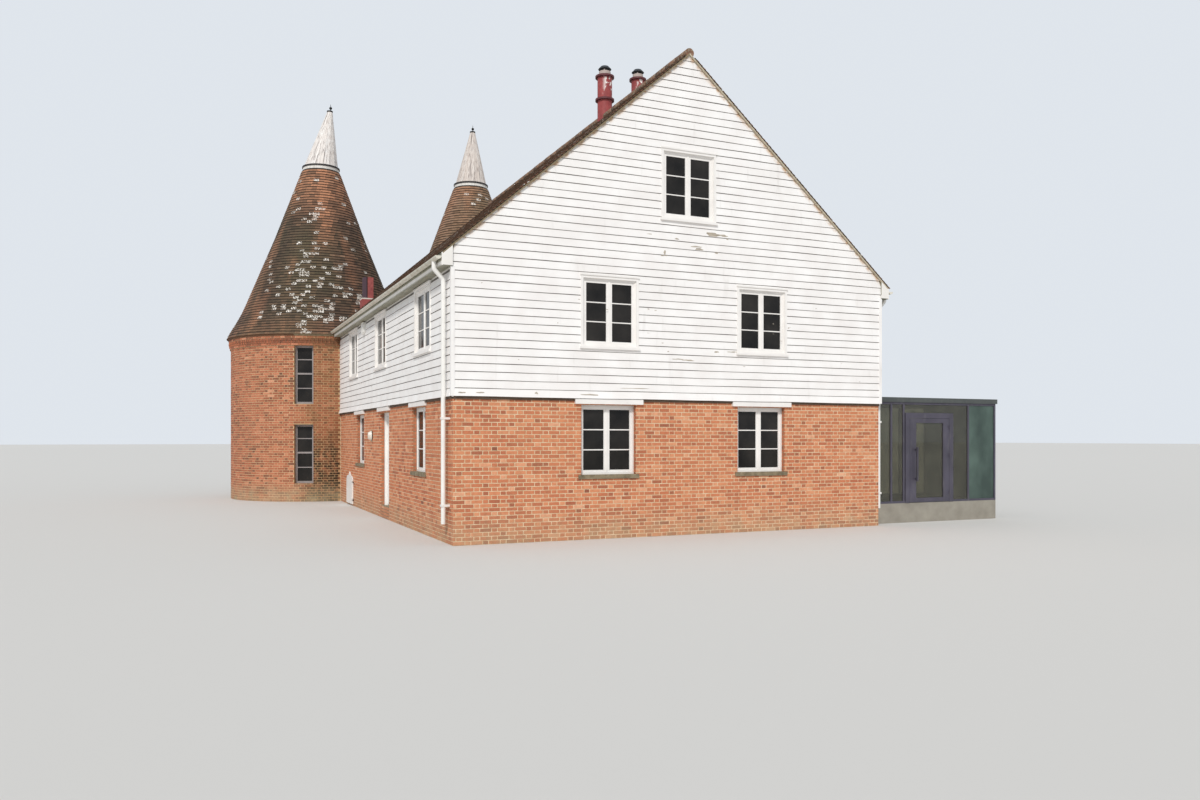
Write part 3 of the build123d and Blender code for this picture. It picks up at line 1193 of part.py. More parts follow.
def lintel_board(side, place):
    """A white timber lintel face over a ground storey opening, up to the foot of the boards."""
    half = LINTEL_LENGTH / 2
    face = BRICK_SETBACK - LINTEL_PROJECTION
    return on_wall(side) * block(place - half, place + half, face, BRICK_SETBACK, BRICK_STOREY - LINTEL_HEIGHT, BRICK_STOREY)


def save(name, shape):
    """Writes one named piece, or several that don't touch, to its STEP file."""
    if isinstance(shape, list):
        shape = Compound(children=[Solid(item.wrapped) if isinstance(item, Solid) else item for item in shape])
    export_step(shape, f"parts/{name}.step")


def build():
    """Makes every piece of the house."""
    os.makedirs("parts", exist_ok=True)
    inner_x = RIGHT - BRICK_INNER
    inner_y = REAR - BRICK_INNER
    save("ground_floor", block(-inner_x, inner_x, -inner_y, inner_y, 0, GROUND_FLOOR_TOP))
    for side in ("front", "left", "right", "rear"):
        save(f"{side}_wall", ground_wall(side))
    doorways = [SIDE_DOORWAY, HATCHWAY, LINK_DOORWAY] + INNER_DOORWAYS
    save("door_heads", [door_head(doorway) for doorway in doorways])
    save("thresholds", [threshold(doorway) for doorway in doorways])
    save("front_gable", cut_cased_holes(gable_slab(FRONT + BOARD_LINING, FRONT + TIMBER_INNER, BRICK_STOREY), "front"))
    save("rear_upper_wall", rear_upper_piers())
    save("rear_gable", cut_cased_holes(gable_slab(REAR - TIMBER_INNER, REAR - BOARD_LINING, INNER_DOOR_HEADS[1]), "rear"))
    save("left_upper_wall", side_upper_wall("left"))
    save("right_upper_wall", side_upper_wall("right"))
    wall_x = RIGHT - TIMBER_INNER
    wall_y = REAR - TIMBER_INNER
    save("first_floor", block(-wall_x, wall_x, -wall_y, wall_y, FIRST_FLOOR_TOP - FIRST_FLOOR_DEPTH, FIRST_FLOOR_TOP))
    save("attic_floor", block(-wall_x, wall_x, -wall_y, wall_y, ATTIC_FLOOR_TOP - ATTIC_FLOOR_DEPTH, ATTIC_FLOOR_TOP)
         & under_roof(0))
    save("left_roof", roof_slope(-1))
    save("right_roof", roof_slope(1))
    save("ridge_tiles", ridge_capping())
    save("eaves_boxes", [eaves_box(hand) for hand in (-1, 1)])
    save("gutters", [gutter(hand) for hand in (-1, 1)])
    save("downpipes", [downpipe(hand) for hand in (-1, 1)])
    for side in ("front", "left", "right", "rear"):
        save(f"{side}_windows", windows_of(side))
    save("window_glass", all_panes())
    save("stone_sills", [on_wall(side) * Pos(place, 0, LOWER_WINDOW_BOTTOM) * stone_sill(width)
                         for side, place, width in BRICK_WINDOWS])
    lintels = [lintel_board(side, place) for side, place, width in BRICK_WINDOWS]
    lintels.append(lintel_board("left", -DOOR_PLACE))
    save("lintel_boards", lintels)
    save("side_door_frame", door_frame())
    save("side_door", side_door())
    save("hatch", hatch())
    save("hatch_plates", hatch_pins())
    save("wall_lamp", wall_lamp())
    save("eaves_alarm_box", alarm_box())
    for hand in ROUNDEL_CENTRES:
        save(f"{hand}_roundel_wall", roundel_wall(hand))
        save(f"{hand}_roundel_roof", cone_roof(hand))
        save(f"{hand}_cowl", cowl_staves(hand))
        save(f"{hand}_cowl_spindle", cowl_spindle(hand))
    floors = []
    for hand in ROUNDEL_CENTRES:
        floors.append(roundel_floor(hand, GROUND_FLOOR_TOP, GROUND_FLOOR_TOP))
        floors.append(roundel_floor(hand, FIRST_FLOOR_TOP, FIRST_FLOOR_DEPTH))
    save("roundel_floors", floors)
    save("throat_cheeks", throat_cheeks("left") + throat_cheeks("right"))
    save("throat_heads", throat_heads("left") + throat_heads("right"))
    save("roundel_windows", roundel_glazing(roundel_window))
    save("roundel_glass", roundel_glazing(roundel_pane))
    save("roundel_kerbs", [kerb(hand) for hand in ROUNDEL_CENTRES])
    save("valley_lead", valley_lead())
    save("flues", [flue(FRONT_FLUE, FRONT_FLUE_RADIUS, FRONT_FLUE_TOP), flue(REAR_FLUE, REAR_FLUE_RADIUS, REAR_FLUE_TOP)])
    save("small_chimney", small_chimney())
    save("link_floor", link_place() * block(BOARD_LINING - BRICK_SETBACK, LINK_LENGTH, 0, LINK_DEPTH, 0, LINK_FLOOR_TOP))
    save("link_roof", link_place() * block(0, LINK_LENGTH + LINK_ROOF_LIP, -LINK_ROOF_LIP, LINK_DEPTH + LINK_ROOF_LIP,
                                           LINK_HEIGHT - LINK_ROOF, LINK_HEIGHT))
    save("link_frame", link_frame())
    save("link_glass", link_glass_sheets())
    save("link_obscured_panels", link_panel())
    save("link_door", link_door())
    save("link_door_glass", link_door_pane())


build()
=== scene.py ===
# %% [markdown]
# The oast house in its finish. The solids hold the walls, roofs, doors and windows at their true size, and
# this lesson lays on what its builders did: bricks, boards, tiles, glazing bars and paint. Pictures could be
# stretched over the solids, but they stay flat in any other light. So each piece is worked out with numpy, as
# whole arrays of points, and every finish is made of nodes.

# %% Load the frame
import math

import bpy
import numpy as np
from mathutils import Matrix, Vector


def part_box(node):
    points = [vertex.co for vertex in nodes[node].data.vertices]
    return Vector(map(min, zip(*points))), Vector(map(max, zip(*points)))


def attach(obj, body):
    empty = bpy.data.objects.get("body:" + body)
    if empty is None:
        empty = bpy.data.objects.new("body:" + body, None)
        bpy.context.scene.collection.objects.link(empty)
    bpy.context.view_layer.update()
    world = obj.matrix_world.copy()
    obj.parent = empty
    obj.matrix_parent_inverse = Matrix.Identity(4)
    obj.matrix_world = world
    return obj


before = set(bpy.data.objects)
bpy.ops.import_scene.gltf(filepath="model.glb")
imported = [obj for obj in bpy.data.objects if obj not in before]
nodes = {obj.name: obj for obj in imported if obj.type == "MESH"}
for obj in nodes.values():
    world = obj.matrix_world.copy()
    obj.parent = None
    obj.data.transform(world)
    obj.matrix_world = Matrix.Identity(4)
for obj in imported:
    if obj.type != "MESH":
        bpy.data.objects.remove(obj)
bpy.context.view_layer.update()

# %% [markdown]
# The places of walls and roofs could be typed in again, but the bricks would stay behind when a wall moves.
# They are read from the solids, so the finish always sits on them. The gable's solid is the timber frame, and
# its boards lie in the 20 mm before it. Everything is in metres.

# %% Planes and heights read from the solids
BOARD_LINING = 0.020
BRICK_SETBACK = 0.045
ROOF_PITCH = math.radians(41)
VERGE_LAYER = 0.030

gable_low, gable_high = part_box("front_gable")
RIGHT = gable_high.x + BOARD_LINING
LEFT = -RIGHT
FRONT = gable_low.y - BOARD_LINING
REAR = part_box("rear_gable")[1].y + BOARD_LINING
BRICK_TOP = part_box("front_wall")[1].z
SLOPE = math.tan(ROOF_PITCH)
roof_low, roof_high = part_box("left_roof")
ROOF_FOOT = -roof_low.x
APEX = roof_high.z
print("board planes", LEFT, RIGHT, FRONT, REAR, "brick top", BRICK_TOP, "apex", APEX)

UP = np.array([0.0, 0.0, 1.0])
WALL_FRAMES = {
    "front": (np.array([0.0, FRONT, 0.0]), np.array([1.0, 0.0, 0.0]), np.array([0.0, -1.0, 0.0])),
    "rear": (np.array([0.0, REAR, 0.0]), np.array([-1.0, 0.0, 0.0]), np.array([0.0, 1.0, 0.0])),
    "left": (np.array([LEFT, 0.0, 0.0]), np.array([0.0, -1.0, 0.0]), np.array([-1.0, 0.0, 0.0])),
    "right": (np.array([RIGHT, 0.0, 0.0]), np.array([0.0, 1.0, 0.0]), np.array([1.0, 0.0, 0.0])),
}
HALF_LENGTH = {"front": RIGHT, "rear": RIGHT, "left": REAR, "right": REAR}

# %% [markdown]
# Windows and doors are holes in the boards and the bricks. They could be cut with booleans after laying,
# but that means thousands of cuts. On an unrolled wall a hole is a rectangle, and arithmetic cuts it
# exactly. Each is given by its side, the place of its middle along the wall seen from outside, bottom,
# width and height.

# %% Openings of the boarded and the brick walls
CASED_WINDOWS = [
    ("front", -1.755, 3.705, 1.235, 1.390),
    ("front", 1.755, 3.705, 1.235, 1.390),
    ("front", 0.0, 6.335, 1.260, 1.415),
    ("rear", 0.0, 6.335, 1.260, 1.415),
    ("rear", -3.900, 3.705, 1.100, 1.350),
]
for place in (-4.430, 0.020, 4.040):
    CASED_WINDOWS.append(("left", -place, 3.680, 1.410, 1.350))
    CASED_WINDOWS.append(("right", place, 3.680, 1.410, 1.350))

WINDOW_BOTTOM = 1.250
WINDOW_HEIGHT = 1.350
BRICK_WINDOWS = [
    ("front", -1.760, 1.170),
    ("front", 1.760, 1.170),
    ("left", 3.915, 1.230),
    ("left", -3.150, 1.230),
    ("right", -0.300, 1.230),
    ("right", 3.150, 1.230),
    ("rear", -3.900, 1.170),
]
FLOOR_TOP = 0.290
SIDE_DOORWAY = ("left", 0.300, FLOOR_TOP, 1.100, 2.290)
HATCHWAY = ("left", -4.830, FLOOR_TOP, 0.930, 0.450)
LINK_DOORWAY = ("right", FRONT + 1.600, FLOOR_TOP, 1.000, 2.110)
ROUNDEL_CENTRES = {"left": (-5.110, 9.450), "right": (0.110, 9.450)}
ROUNDEL_RADIUS = 2.830
THROAT_PLACES = {"left": -4.110, "right": 0.110}
THROAT_HALF = 0.450
STONE_SILL = 0.082
HEAD_CAP = 0.030
LINTEL_WIDTH = 1.450

WINDOW_HOLES = [(side, middle, width, WINDOW_BOTTOM, WINDOW_BOTTOM + WINDOW_HEIGHT)
                for side, middle, width in BRICK_WINDOWS]
DOOR_HOLES = [(side, middle, width, bottom, bottom + height)
              for side, middle, bottom, width, height in (SIDE_DOORWAY, HATCHWAY, LINK_DOORWAY)]
BRICK_HOLES = [(side, middle, width, bottom - STONE_SILL, top)
               for side, middle, width, bottom, top in WINDOW_HOLES] + DOOR_HOLES
BOARD_HOLES = [(side, middle, width, bottom, bottom + height + HEAD_CAP)
               for side, middle, bottom, width, height in CASED_WINDOWS]
print("holes", len(BRICK_HOLES), "in the bricks and", len(BOARD_HOLES), "in the boards")

# %% [markdown]
# Bricks, boards, tiles and bars are all short solids. Each could be a cube that is added and stretched, but
# there are tens of thousands, so one helper turns whole arrays into one mesh. A piece is made of strips: a
# strip is a row of rings of points, and each ring goes once round its section. A box is the shortest strip,
# two rings of four points. Sides join ring to ring, and a ladder of quads closes both ends. The sign of each
# strip's volume tells whether its faces look inwards, and such a strip is turned over.

# %% Strips of rings made into one mesh object
def strip_faces(stations, points):
    """Faces of one strip: quads from ring to ring, then a ladder of quads over the first and last ring."""
    station, point = np.meshgrid(np.arange(stations - 1), np.arange(points), indexing="ij")
    after = (point + 1) % points
    sides = np.stack([station * points + point, station * points + after,
                      (station + 1) * points + after, (station + 1) * points + point], -1).reshape(-1, 4)
    rung = np.arange(points // 2 - 1)
    first = np.stack([rung, points - 1 - rung, points - 2 - rung, rung + 1], -1)
    last = np.stack([rung, rung + 1, points - 2 - rung, points - 1 - rung], -1) + (stations - 1) * points
    return np.concatenate([sides, first, last])


def strip_volumes(rings, faces):
    """Six times each strip's signed volume: the sum over its faces of a . (b x c) + a . (c x d)."""
    points = rings.reshape(len(rings), -1, 3)
    points = points - points.mean(axis=1, keepdims=True)
    a, b, c, d = (points[:, faces[:, corner]] for corner in range(4))
    return (a * np.cross(b, c)).sum((1, 2)) + (a * np.cross(c, d)).sum((1, 2))


def add_strips(name, rings, material, body="house", slot=None, smooth=False, **values):
    """Makes one object of all strips and has it ride on a body. Rings has the shape strips, stations, points,
    3, and each further value becomes an attribute of that name."""
    count, stations, points = rings.shape[:3]
    faces = strip_faces(stations, points)
    turned = strip_volumes(rings, faces) < 0
    quads = np.where(turned[:, None, None], faces[None, :, ::-1], faces[None])
    quads = quads + (np.arange(count) * stations * points)[:, None, None]
    mesh = bpy.data.meshes.new(name)
    mesh.vertices.add(count * stations * points)
    mesh.vertices.foreach_set("co", rings.astype(np.float32).ravel())
    mesh.loops.add(quads.size)
    mesh.loops.foreach_set("vertex_index", quads.astype(np.int32).ravel())
    mesh.polygons.add(quads.size // 4)
    mesh.polygons.foreach_set("loop_start", np.arange(0, quads.size, 4, dtype=np.int32))
    mesh.polygons.foreach_set("use_smooth", np.full(quads.size // 4, smooth))
    mesh.update(calc_edges=True)
    for key, value in values.items():
        spread = np.broadcast_to(value, rings.shape[:3]).astype(np.float32)
        mesh.attributes.new(key, "FLOAT", "POINT").data.foreach_set("value", spread.ravel())
    mesh.materials.append(material)
    piece = bpy.data.objects.new(name, mesh)
    bpy.context.scene.collection.objects.link(piece)
    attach(piece, body)
    print(name, "strips", count, "triangles", quads.size // 2)
    return piece


def blocks(low, high):
    """Rings of upright boxes between arrays of low and high corners: the lower ring, then the upper."""
    x = np.stack([low[:, 0], high[:, 0], high[:, 0], low[:, 0]], -1)
    y = np.stack([low[:, 1], low[:, 1], high[:, 1], high[:, 1]], -1)
    rings = [np.stack([x, y, np.repeat(z[:, None], 4, 1)], -1) for z in (low[:, 2], high[:, 2])]
    return np.stack(rings, 1)


def each(values):
    """One value for each strip, shaped to spread over its rings and points."""
    return np.asarray(values)[:, None, None]


unit_box = blocks(np.zeros((1, 3)), np.ones((1, 3)))
six_volumes = strip_volumes(unit_box, strip_faces(2, 4))
print("rings of a box", unit_box.shape[1:], "six times its volume", six_volumes)


# %% [markdown]
# Flat and round walls could each have code of their own. Here a wall is one function of two parameters and a
# depth: s along the wall, z up and depth outwards. A flat wall is a plane, and a kiln wall is a cylinder on
# which s is the arc length. Bricks are laid out once as rectangles of s and z, and the function bends them.

# %% Places on flat and round walls
def flat_place(side, setback):
    """Point = wall origin + s * across + (depth - setback) * outward + z * up."""
    origin, across, outward = WALL_FRAMES[side]

    def place(s, z, depth):
        s, z, depth = np.broadcast_arrays(s, z, depth)
        return origin + s[..., None] * across + (depth - setback)[..., None] * outward + z[..., None] * UP
    return place


def round_place(centre, radius):
    """Point at the bearing s / radius from +X, at the distance radius + depth from the centre, and at z."""
    def place(s, z, depth):
        s, z, depth = np.broadcast_arrays(s, z, depth)
        angle = s / radius
        reach = radius + depth
        return np.stack([centre[0] + reach * np.cos(angle), centre[1] + reach * np.sin(angle), z], -1)
    return place


def eased(low, high, value):
    """0 below low, 1 above high and the smooth curve t * t * (3 - 2 t) between; low may be the larger."""
    t = np.clip((value - low) / (high - low), 0, 1)
    return t * t * (3 - 2 * t)


print("one metre up in the middle of the gable", flat_place("front", 0.0)(0.0, 1.0, 0.0))


# %% [markdown]
# Paint, brick and tile are node materials. Picture textures repeat, and blur from near, while a pattern of
# nodes is sharp at any distance. Colours are written as they look on screen, in sRGB hex, and one function
# turns them to the linear values that the shader reads. One more adds a node of any kind. A pattern is noise
# seen through a colour ramp, weather is laid over a colour in layers, and a finish ends by laying its colour
# and its relief on the shader.

# %% Colours and nodes
def linear(code):
    """sRGB hex to linear RGBA: (c / 12.92) below 0.04045, else ((c + 0.055) / 1.055) ** 2.4."""
    channels = np.array([int(code[i:i + 2], 16) for i in (1, 3, 5)]) / 255
    values = np.where(channels <= 0.04045, channels / 12.92, ((channels + 0.055) / 1.055) ** 2.4)
    return (*values.tolist(), 1.0)


def add_node(tree, kind, out=0, settings=None, **inputs):
    """Adds a node and gives the socket it puts out. Settings are its properties, with a ramp's colours as
    stops; inputs are values, hex colours or sockets, by name or by place: i6 is the seventh."""
    made = tree.nodes.new(kind)
    for name, value in (settings or {}).items():
        if name == "stops":
            while len(made.color_ramp.elements) < len(value):
                made.color_ramp.elements.new(0.5)
            for element, (position, colour) in zip(made.color_ramp.elements, value):
                element.position = position
                element.color = linear(colour) if isinstance(colour, str) else (colour, colour, colour, 1.0)
        else:
            setattr(made, name, value)
    for name, value in inputs.items():
        socket = made.inputs[int(name[1:]) if name[1:].isdigit() else name.replace("_", " ")]
        if isinstance(value, bpy.types.NodeSocket):
            tree.links.new(value, socket)
        else:
            socket.default_value = linear(value) if isinstance(value, str) else value
    return made.outputs[out]


MIX = ("ShaderNodeMix", 2, {"data_type": "RGBA"})
SHADE = ("ShaderNodeMix", 2, {"data_type": "RGBA", "blend_type": "MULTIPLY"})
TIMES = ("ShaderNodeMath", 0, {"operation": "MULTIPLY"})
LARGER = ("ShaderNodeMath", 0, {"operation": "MAXIMUM"})
ABOVE = ("ShaderNodeMath", 0, {"operation": "GREATER_THAN"})
RAISED = ("ShaderNodeMath", 0, {"operation": "MULTIPLY_ADD"})
EASED = ("ShaderNodeMapRange", 0, {"interpolation_type": "SMOOTHSTEP"})
TONE, RISE, STAIN_AND_SHADE, DAMP_AND_SHADE, LICHEN, RED, ACROSS, ALONG = (
    ("ShaderNodeAttribute", "Fac", {"attribute_name": name})
    for name in ("tone", "rise", "stain", "damp", "lichen", "red", "across", "along"))


def start_material(name, roughness, **sockets):
    """A new node material: its tree, its shader with uniform values set on it, and its Object coordinates."""
    material = bpy.data.materials.new(name)
    material.use_nodes = True
    tree = material.node_tree
    shader = tree.nodes["Principled BSDF"]
    shader.inputs["Roughness"].default_value = roughness
    for key, value in sockets.items():
        shader.inputs[key.replace("_", " ")].default_value = value
    return material, tree, shader, add_node(tree, "ShaderNodeTexCoord", "Object")


def mottled(tree, vector, scale, stops, detail=4.0, stretch=None):
    """A noise pattern through a colour ramp: scale is in patches per metre, stretch is its scale by axis."""
    if stretch:
        vector = add_node(tree, "ShaderNodeMapping", Vector=vector, Scale=stretch)
    noise = add_node(tree, "ShaderNodeTexNoise", Vector=vector, Scale=scale, Detail=detail)
    return add_node(tree, "ShaderNodeValToRGB", 0, {"stops": stops}, Fac=noise)


def weathered(tree, place, colour, *layers):
    """Lays patterns over a colour in turn. A layer is a colour, then scale, stops and so on for mottled."""
    for over, *pattern in layers:
        colour = add_node(tree, *MIX, i0=mottled(tree, place, *pattern), i6=colour, i7=over)
    return colour


def lay_on(tree, shader, colour, relief=None, peak=0.001, strength=0.5):
    """The last step of a finish: its colour and its relief, with peaks in metres, go to the shader."""
    tree.links.new(colour, shader.inputs["Base Color"])
    if relief is not None:
        normal = add_node(tree, "ShaderNodeBump", Height=relief, Distance=peak, Strength=strength)
        tree.links.new(normal, shader.inputs["Normal"])


def plain_finish(name, roughness, base, over=None, skin=None, peak=0.001, strength=0.5, **sockets):
    """A finish that is the same all over: a mottled base and, where given, one layer over it. Its relief
    follows the upper pattern, or a skin of its own with so many grains per metre and so much detail."""
    material, tree, shader, place = start_material(name, roughness, **sockets)
    colour = relief = mottled(tree, place, *base)
    if over:
        relief = mottled(tree, place, *over[1:])
        colour = add_node(tree, *MIX, i0=relief, i6=colour, i7=over[0])
    if skin:
        relief = add_node(tree, "ShaderNodeTexNoise", Vector=place, Scale=skin[0], Detail=skin[1])
    lay_on(tree, shader, colour, relief, peak, strength)
    return material


print("the grey #808080 is", linear("#808080")[0], "in linear light")

# %% [markdown]
# Brick is clay fired in a clamp: each took the fire differently, from plum to orange, and is sandy and
# matt. One pattern could run over the whole wall, but it would cross the joints. So each brick carries a
# tone of its own, and sand grain, soot and moss are laid over it. Brick in a wet corner carries a stain
# too, which is also painted shade on the side of a kiln turned towards the barn. Mortar is lime and yellow
# sand, paler than the brick, and it is what shows of the wall's own solid.

# %% Brick and mortar
def fired_brick(name, stops, moss, slow_colour):
    """Clamp-fired brick: matt and warm, each brick its own tone, soot in 60 mm clouds and 3 mm sand grain.
    Stained brick turns olive brown and damp brick nearly black, both partly stain and partly painted shade
    near the barn, and moss greys the lowest courses."""
    material, tree, shader, place = start_material(name, 0.92)
    colour = add_node(tree, "ShaderNodeValToRGB", 0, {"stops": stops}, Fac=add_node(tree, *TONE))
    colour = weathered(tree, place, colour, ("#7d4d38", 16.0, [(0.42, 0.0), (0.74, 0.38)]),
                       (slow_colour, 0.7, [(0.35, 0.0), (0.65, 0.42)], 3.0),
                       ("#e2b08a", 300.0, [(0.35, 0.0), (0.65, 0.24)], 2.0))
    patchy = mottled(tree, place, 3.4, [(0.32, 0.35), (0.66, 1.0)])
    stain = add_node(tree, *TIMES, i0=add_node(tree, *STAIN_AND_SHADE), i1=patchy)
    stain = add_node(tree, *TIMES, i0=stain, i1=0.62)
    colour = add_node(tree, *MIX, i0=stain, i6=colour, i7="#6a5231")
    blots = mottled(tree, place, 7.0, [(0.36, 0.1), (0.54, 1.0)])
    damp = add_node(tree, *TIMES, i0=add_node(tree, *DAMP_AND_SHADE), i1=blots)
    colour = add_node(tree, *MIX, i0=damp, i6=colour, i7="#3b2c1c")
    height = add_node(tree, "ShaderNodeSeparateXYZ", 2, Vector=place)
    low = add_node(tree, *EASED, Value=height, i1=0.0, i2=0.75, i3=moss, i4=0.0)
    low = add_node(tree, *TIMES, i0=low, i1=patchy)
    colour = add_node(tree, *MIX, i0=low, i6=colour, i7="#a69a7c")
    rough = add_node(tree, "ShaderNodeTexNoise", Vector=place, Scale=220.0, Detail=3.0)
    lay_on(tree, shader, colour, rough, 0.002, 0.6)
    return material


BARN_BRICK = fired_brick("clamp_fired_red_brick", [
    (0.0, "#74392a"), (0.13, "#a15238"), (0.36, "#c06a47"),
    (0.62, "#d07c55"), (0.86, "#df946b"), (1.0, "#edb28e")], 0.55, "#cc8058")
KILN_BRICK = fired_brick("clamp_fired_kiln_brick", [
    (0.0, "#331b15"), (0.13, "#5c2e21"), (0.34, "#8f4b31"),
    (0.62, "#ae6142"), (0.86, "#c37656"), (1.0, "#da9c7c")], 0.80, "#b9694a")
WET_SHADE_FROM_X, WET_SHADE_FULLY_X = -6.4, -5.7
WET_SHADE_FROM_Y, WET_SHADE_FULLY_Y = 8.5, 7.3
INSIDE_EDGE = BRICK_SETBACK + 0.010
INSIDE_FADE = 0.030


def lime_mortar(name, stops, wet_and_shade):
    """Lime mortar: warm, gritty and matt, in 110 mm clouds of sand colour with 4 mm grit. It darkens where a
    kiln turns towards the barn, partly with wet and partly as painted shade, and with painted shade inside
    the openings, behind the wall's outer face."""
    material, tree, shader, place = start_material(name, 0.95)
    sandy = mottled(tree, place, 9.0, stops)
    grit = mottled(tree, place, 260.0, [(0.4, 0.0), (0.7, 0.4)], 2.0)
    colour = add_node(tree, *MIX, i0=grit, i6=sandy, i7="#a88c66")
    apart = add_node(tree, "ShaderNodeSeparateXYZ", Vector=place).node
    turned = add_node(tree, *EASED, Value=apart.outputs[0], i1=WET_SHADE_FROM_X, i2=WET_SHADE_FULLY_X, i3=0.0, i4=wet_and_shade)
    close = add_node(tree, *EASED, Value=apart.outputs[1], i1=WET_SHADE_FROM_Y, i2=WET_SHADE_FULLY_Y, i3=0.0, i4=1.0)
    wet_and_shade_mask = add_node(tree, *TIMES, i0=turned, i1=close)
    colour = add_node(tree, *SHADE, i0=wet_and_shade_mask, i6=colour, i7="#c9b894")
    aside = add_node(tree, "ShaderNodeMath", 0, {"operation": "ABSOLUTE"}, i0=apart.outputs[0])
    side = RIGHT - INSIDE_EDGE
    inside = add_node(tree, *EASED, Value=aside, i1=side, i2=side - INSIDE_FADE, i3=0.0, i4=0.75)
    for start, fade in ((FRONT + INSIDE_EDGE, INSIDE_FADE), (REAR - INSIDE_EDGE, -INSIDE_FADE)):
        within = add_node(tree, *EASED, Value=apart.outputs[1], i1=start, i2=start + fade, i3=0.0, i4=1.0)
        inside = add_node(tree, *TIMES, i0=inside, i1=within)
    lay_on(tree, shader, add_node(tree, *MIX, i0=inside, i6=colour, i7="#7d5a44"), grit, 0.002, 0.5)
    return material


MORTAR = lime_mortar("pale_lime_mortar", [(0.3, "#dcc39c"), (0.7, "#f3e0bf")], 0.0)
KILN_MORTAR = lime_mortar("weathered_lime_mortar", [(0.3, "#cdac84"), (0.7, "#e6c8a2")], 0.5)
print("bricks and mortars", [finish.name for finish in (BARN_BRICK, KILN_BRICK, MORTAR, KILN_MORTAR)])

# %% [markdown]
# The walls are laid in Flemish bond: in each course a stretcher and a header take turns, and each course is
# shifted so that a header sits over the middle of a stretcher. Courses are 75 mm apart and the joints are
# wide, about 12 mm, as in old lime work. Bricks could be lines drawn in a material, but real ones stand a few
# millimetres proud and catch the light. The whole wall is laid first, then cut round its openings.

# %% Bricks laid and cut as rectangles
STRETCHER = 0.213
HEADER = 0.1005
JOINT = 0.012
BRICK_HEIGHT = 0.063
COURSE = BRICK_HEIGHT + JOINT
BRICK_PROUD = 0.0045
ROUND_PROUD = 0.0065
BRICK_BED = 0.012
BRICK_WEAR = 0.002
SMALLEST_CUT = 0.018
FAR = 1e3


def clipped(rects, s0, s1, z0, z1):
    """Rectangles trimmed to a window of s and z, without those that become too small."""
    made = rects.copy()
    made[:, 0::2] = np.maximum(rects[:, 0::2], [s0, z0])
    made[:, 1::2] = np.minimum(rects[:, 1::2], [s1, z1])
    return made[(made[:, 1] - made[:, 0] > SMALLEST_CUT) & (made[:, 3] - made[:, 2] > SMALLEST_CUT)]


def cut_round(rects, s0, s1, z0, z1):
    """Rectangles with a hole cut out: what is beside, below and above the hole is kept."""
    hit = (rects[:, 3] > z0) & (rects[:, 2] < z1) & (rects[:, 1] > s0) & (rects[:, 0] < s1)
    struck = rects[hit]
    rests = [clipped(struck, -FAR, s0, -FAR, FAR), clipped(struck, s1, FAR, -FAR, FAR),
             clipped(struck, s0, s1, -FAR, z0), clipped(struck, s0, s1, z1, FAR)]
    return np.concatenate([rects[~hit], *rests])


def cut_holes(rects, side, holes):
    """Cuts the holes of one side: each goes from middle - width / 2 to middle + width / 2, bottom to top."""
    for hole_side, middle, width, bottom, top in holes:
        if hole_side == side:
            rects = cut_round(rects, middle - width / 2, middle + width / 2, bottom, top)
    return rects


def flemish_courses(start, end, bottom, top):
    """Rows of rectangles (s0, s1, z0, z1): stretcher, joint, header, joint, each course half a unit on."""
    unit = STRETCHER + HEADER + 2 * JOINT
    row, turn = np.meshgrid(np.arange(math.ceil((top - bottom) / COURSE)),
                            np.arange(-1, math.ceil((end - start) / unit) + 1), indexing="ij")
    s = start + turn * unit + (row % 2) * unit / 2
    z = bottom + row * COURSE + JOINT / 2
    whole = np.stack([s, s + STRETCHER, z, z + BRICK_HEIGHT], -1).reshape(-1, 4)
    header = whole + np.array([STRETCHER + JOINT, JOINT + HEADER, 0, 0])
    return clipped(np.concatenate([whole, header]), start, end, bottom, top)


def laid_bricks(rects, place, rng, proud=BRICK_PROUD):
    """Rings of bricks: a back ring in the wall and a slightly smaller worn front ring before it. Corners and
    depths stray by a millimetre or so, by normal chance."""
    count = len(rects)
    wobble = rng.normal(0, 0.0011, (count, 2, 4, 2))
    front = proud + np.clip(rng.normal(0, 0.0012, count), -0.0015, 0.0025)
    depth = np.stack([np.full(count, -BRICK_BED), front], 1)[:, :, None]
    depth = depth + rng.normal(0, 0.0005, (count, 2, 4))
    inset = np.array([0.0, BRICK_WEAR])[None, :, None]
    s = np.stack([rects[:, 0], rects[:, 1], rects[:, 1], rects[:, 0]], -1)[:, None, :]
    z = np.stack([rects[:, 2], rects[:, 2], rects[:, 3], rects[:, 3]], -1)[:, None, :]
    s = s + inset * np.array([1, -1, -1, 1]) + wobble[..., 0]
    z = z + inset * np.array([1, 1, -1, -1]) + wobble[..., 1]
    return place(s, z, depth)


def brick_tones(rects, rng, burnt_share=0.16):
    """A tone for each brick: even over most, and darker for some headers, which lay nearest the fire."""
    tones = rng.beta(2.4, 2.0, len(rects))
    burnt = (rects[:, 1] - rects[:, 0] < HEADER * 1.1) & (rng.random(len(rects)) < burnt_share)
    return np.where(burnt, tones * 0.35, tones)


print("bricks on one square metre", len(flemish_courses(0.0, 1.0, 0.0, 1.0)))


# %% [markdown]
# Each wall of the barn is laid from corner to corner as a piece of its own. One mesh for all four would do,
# but then a single wall couldn't be looked at or laid again by itself. Windows and doors are cut out, and the
# rear wall stops where the kilns and the walled passages to them stand against it.

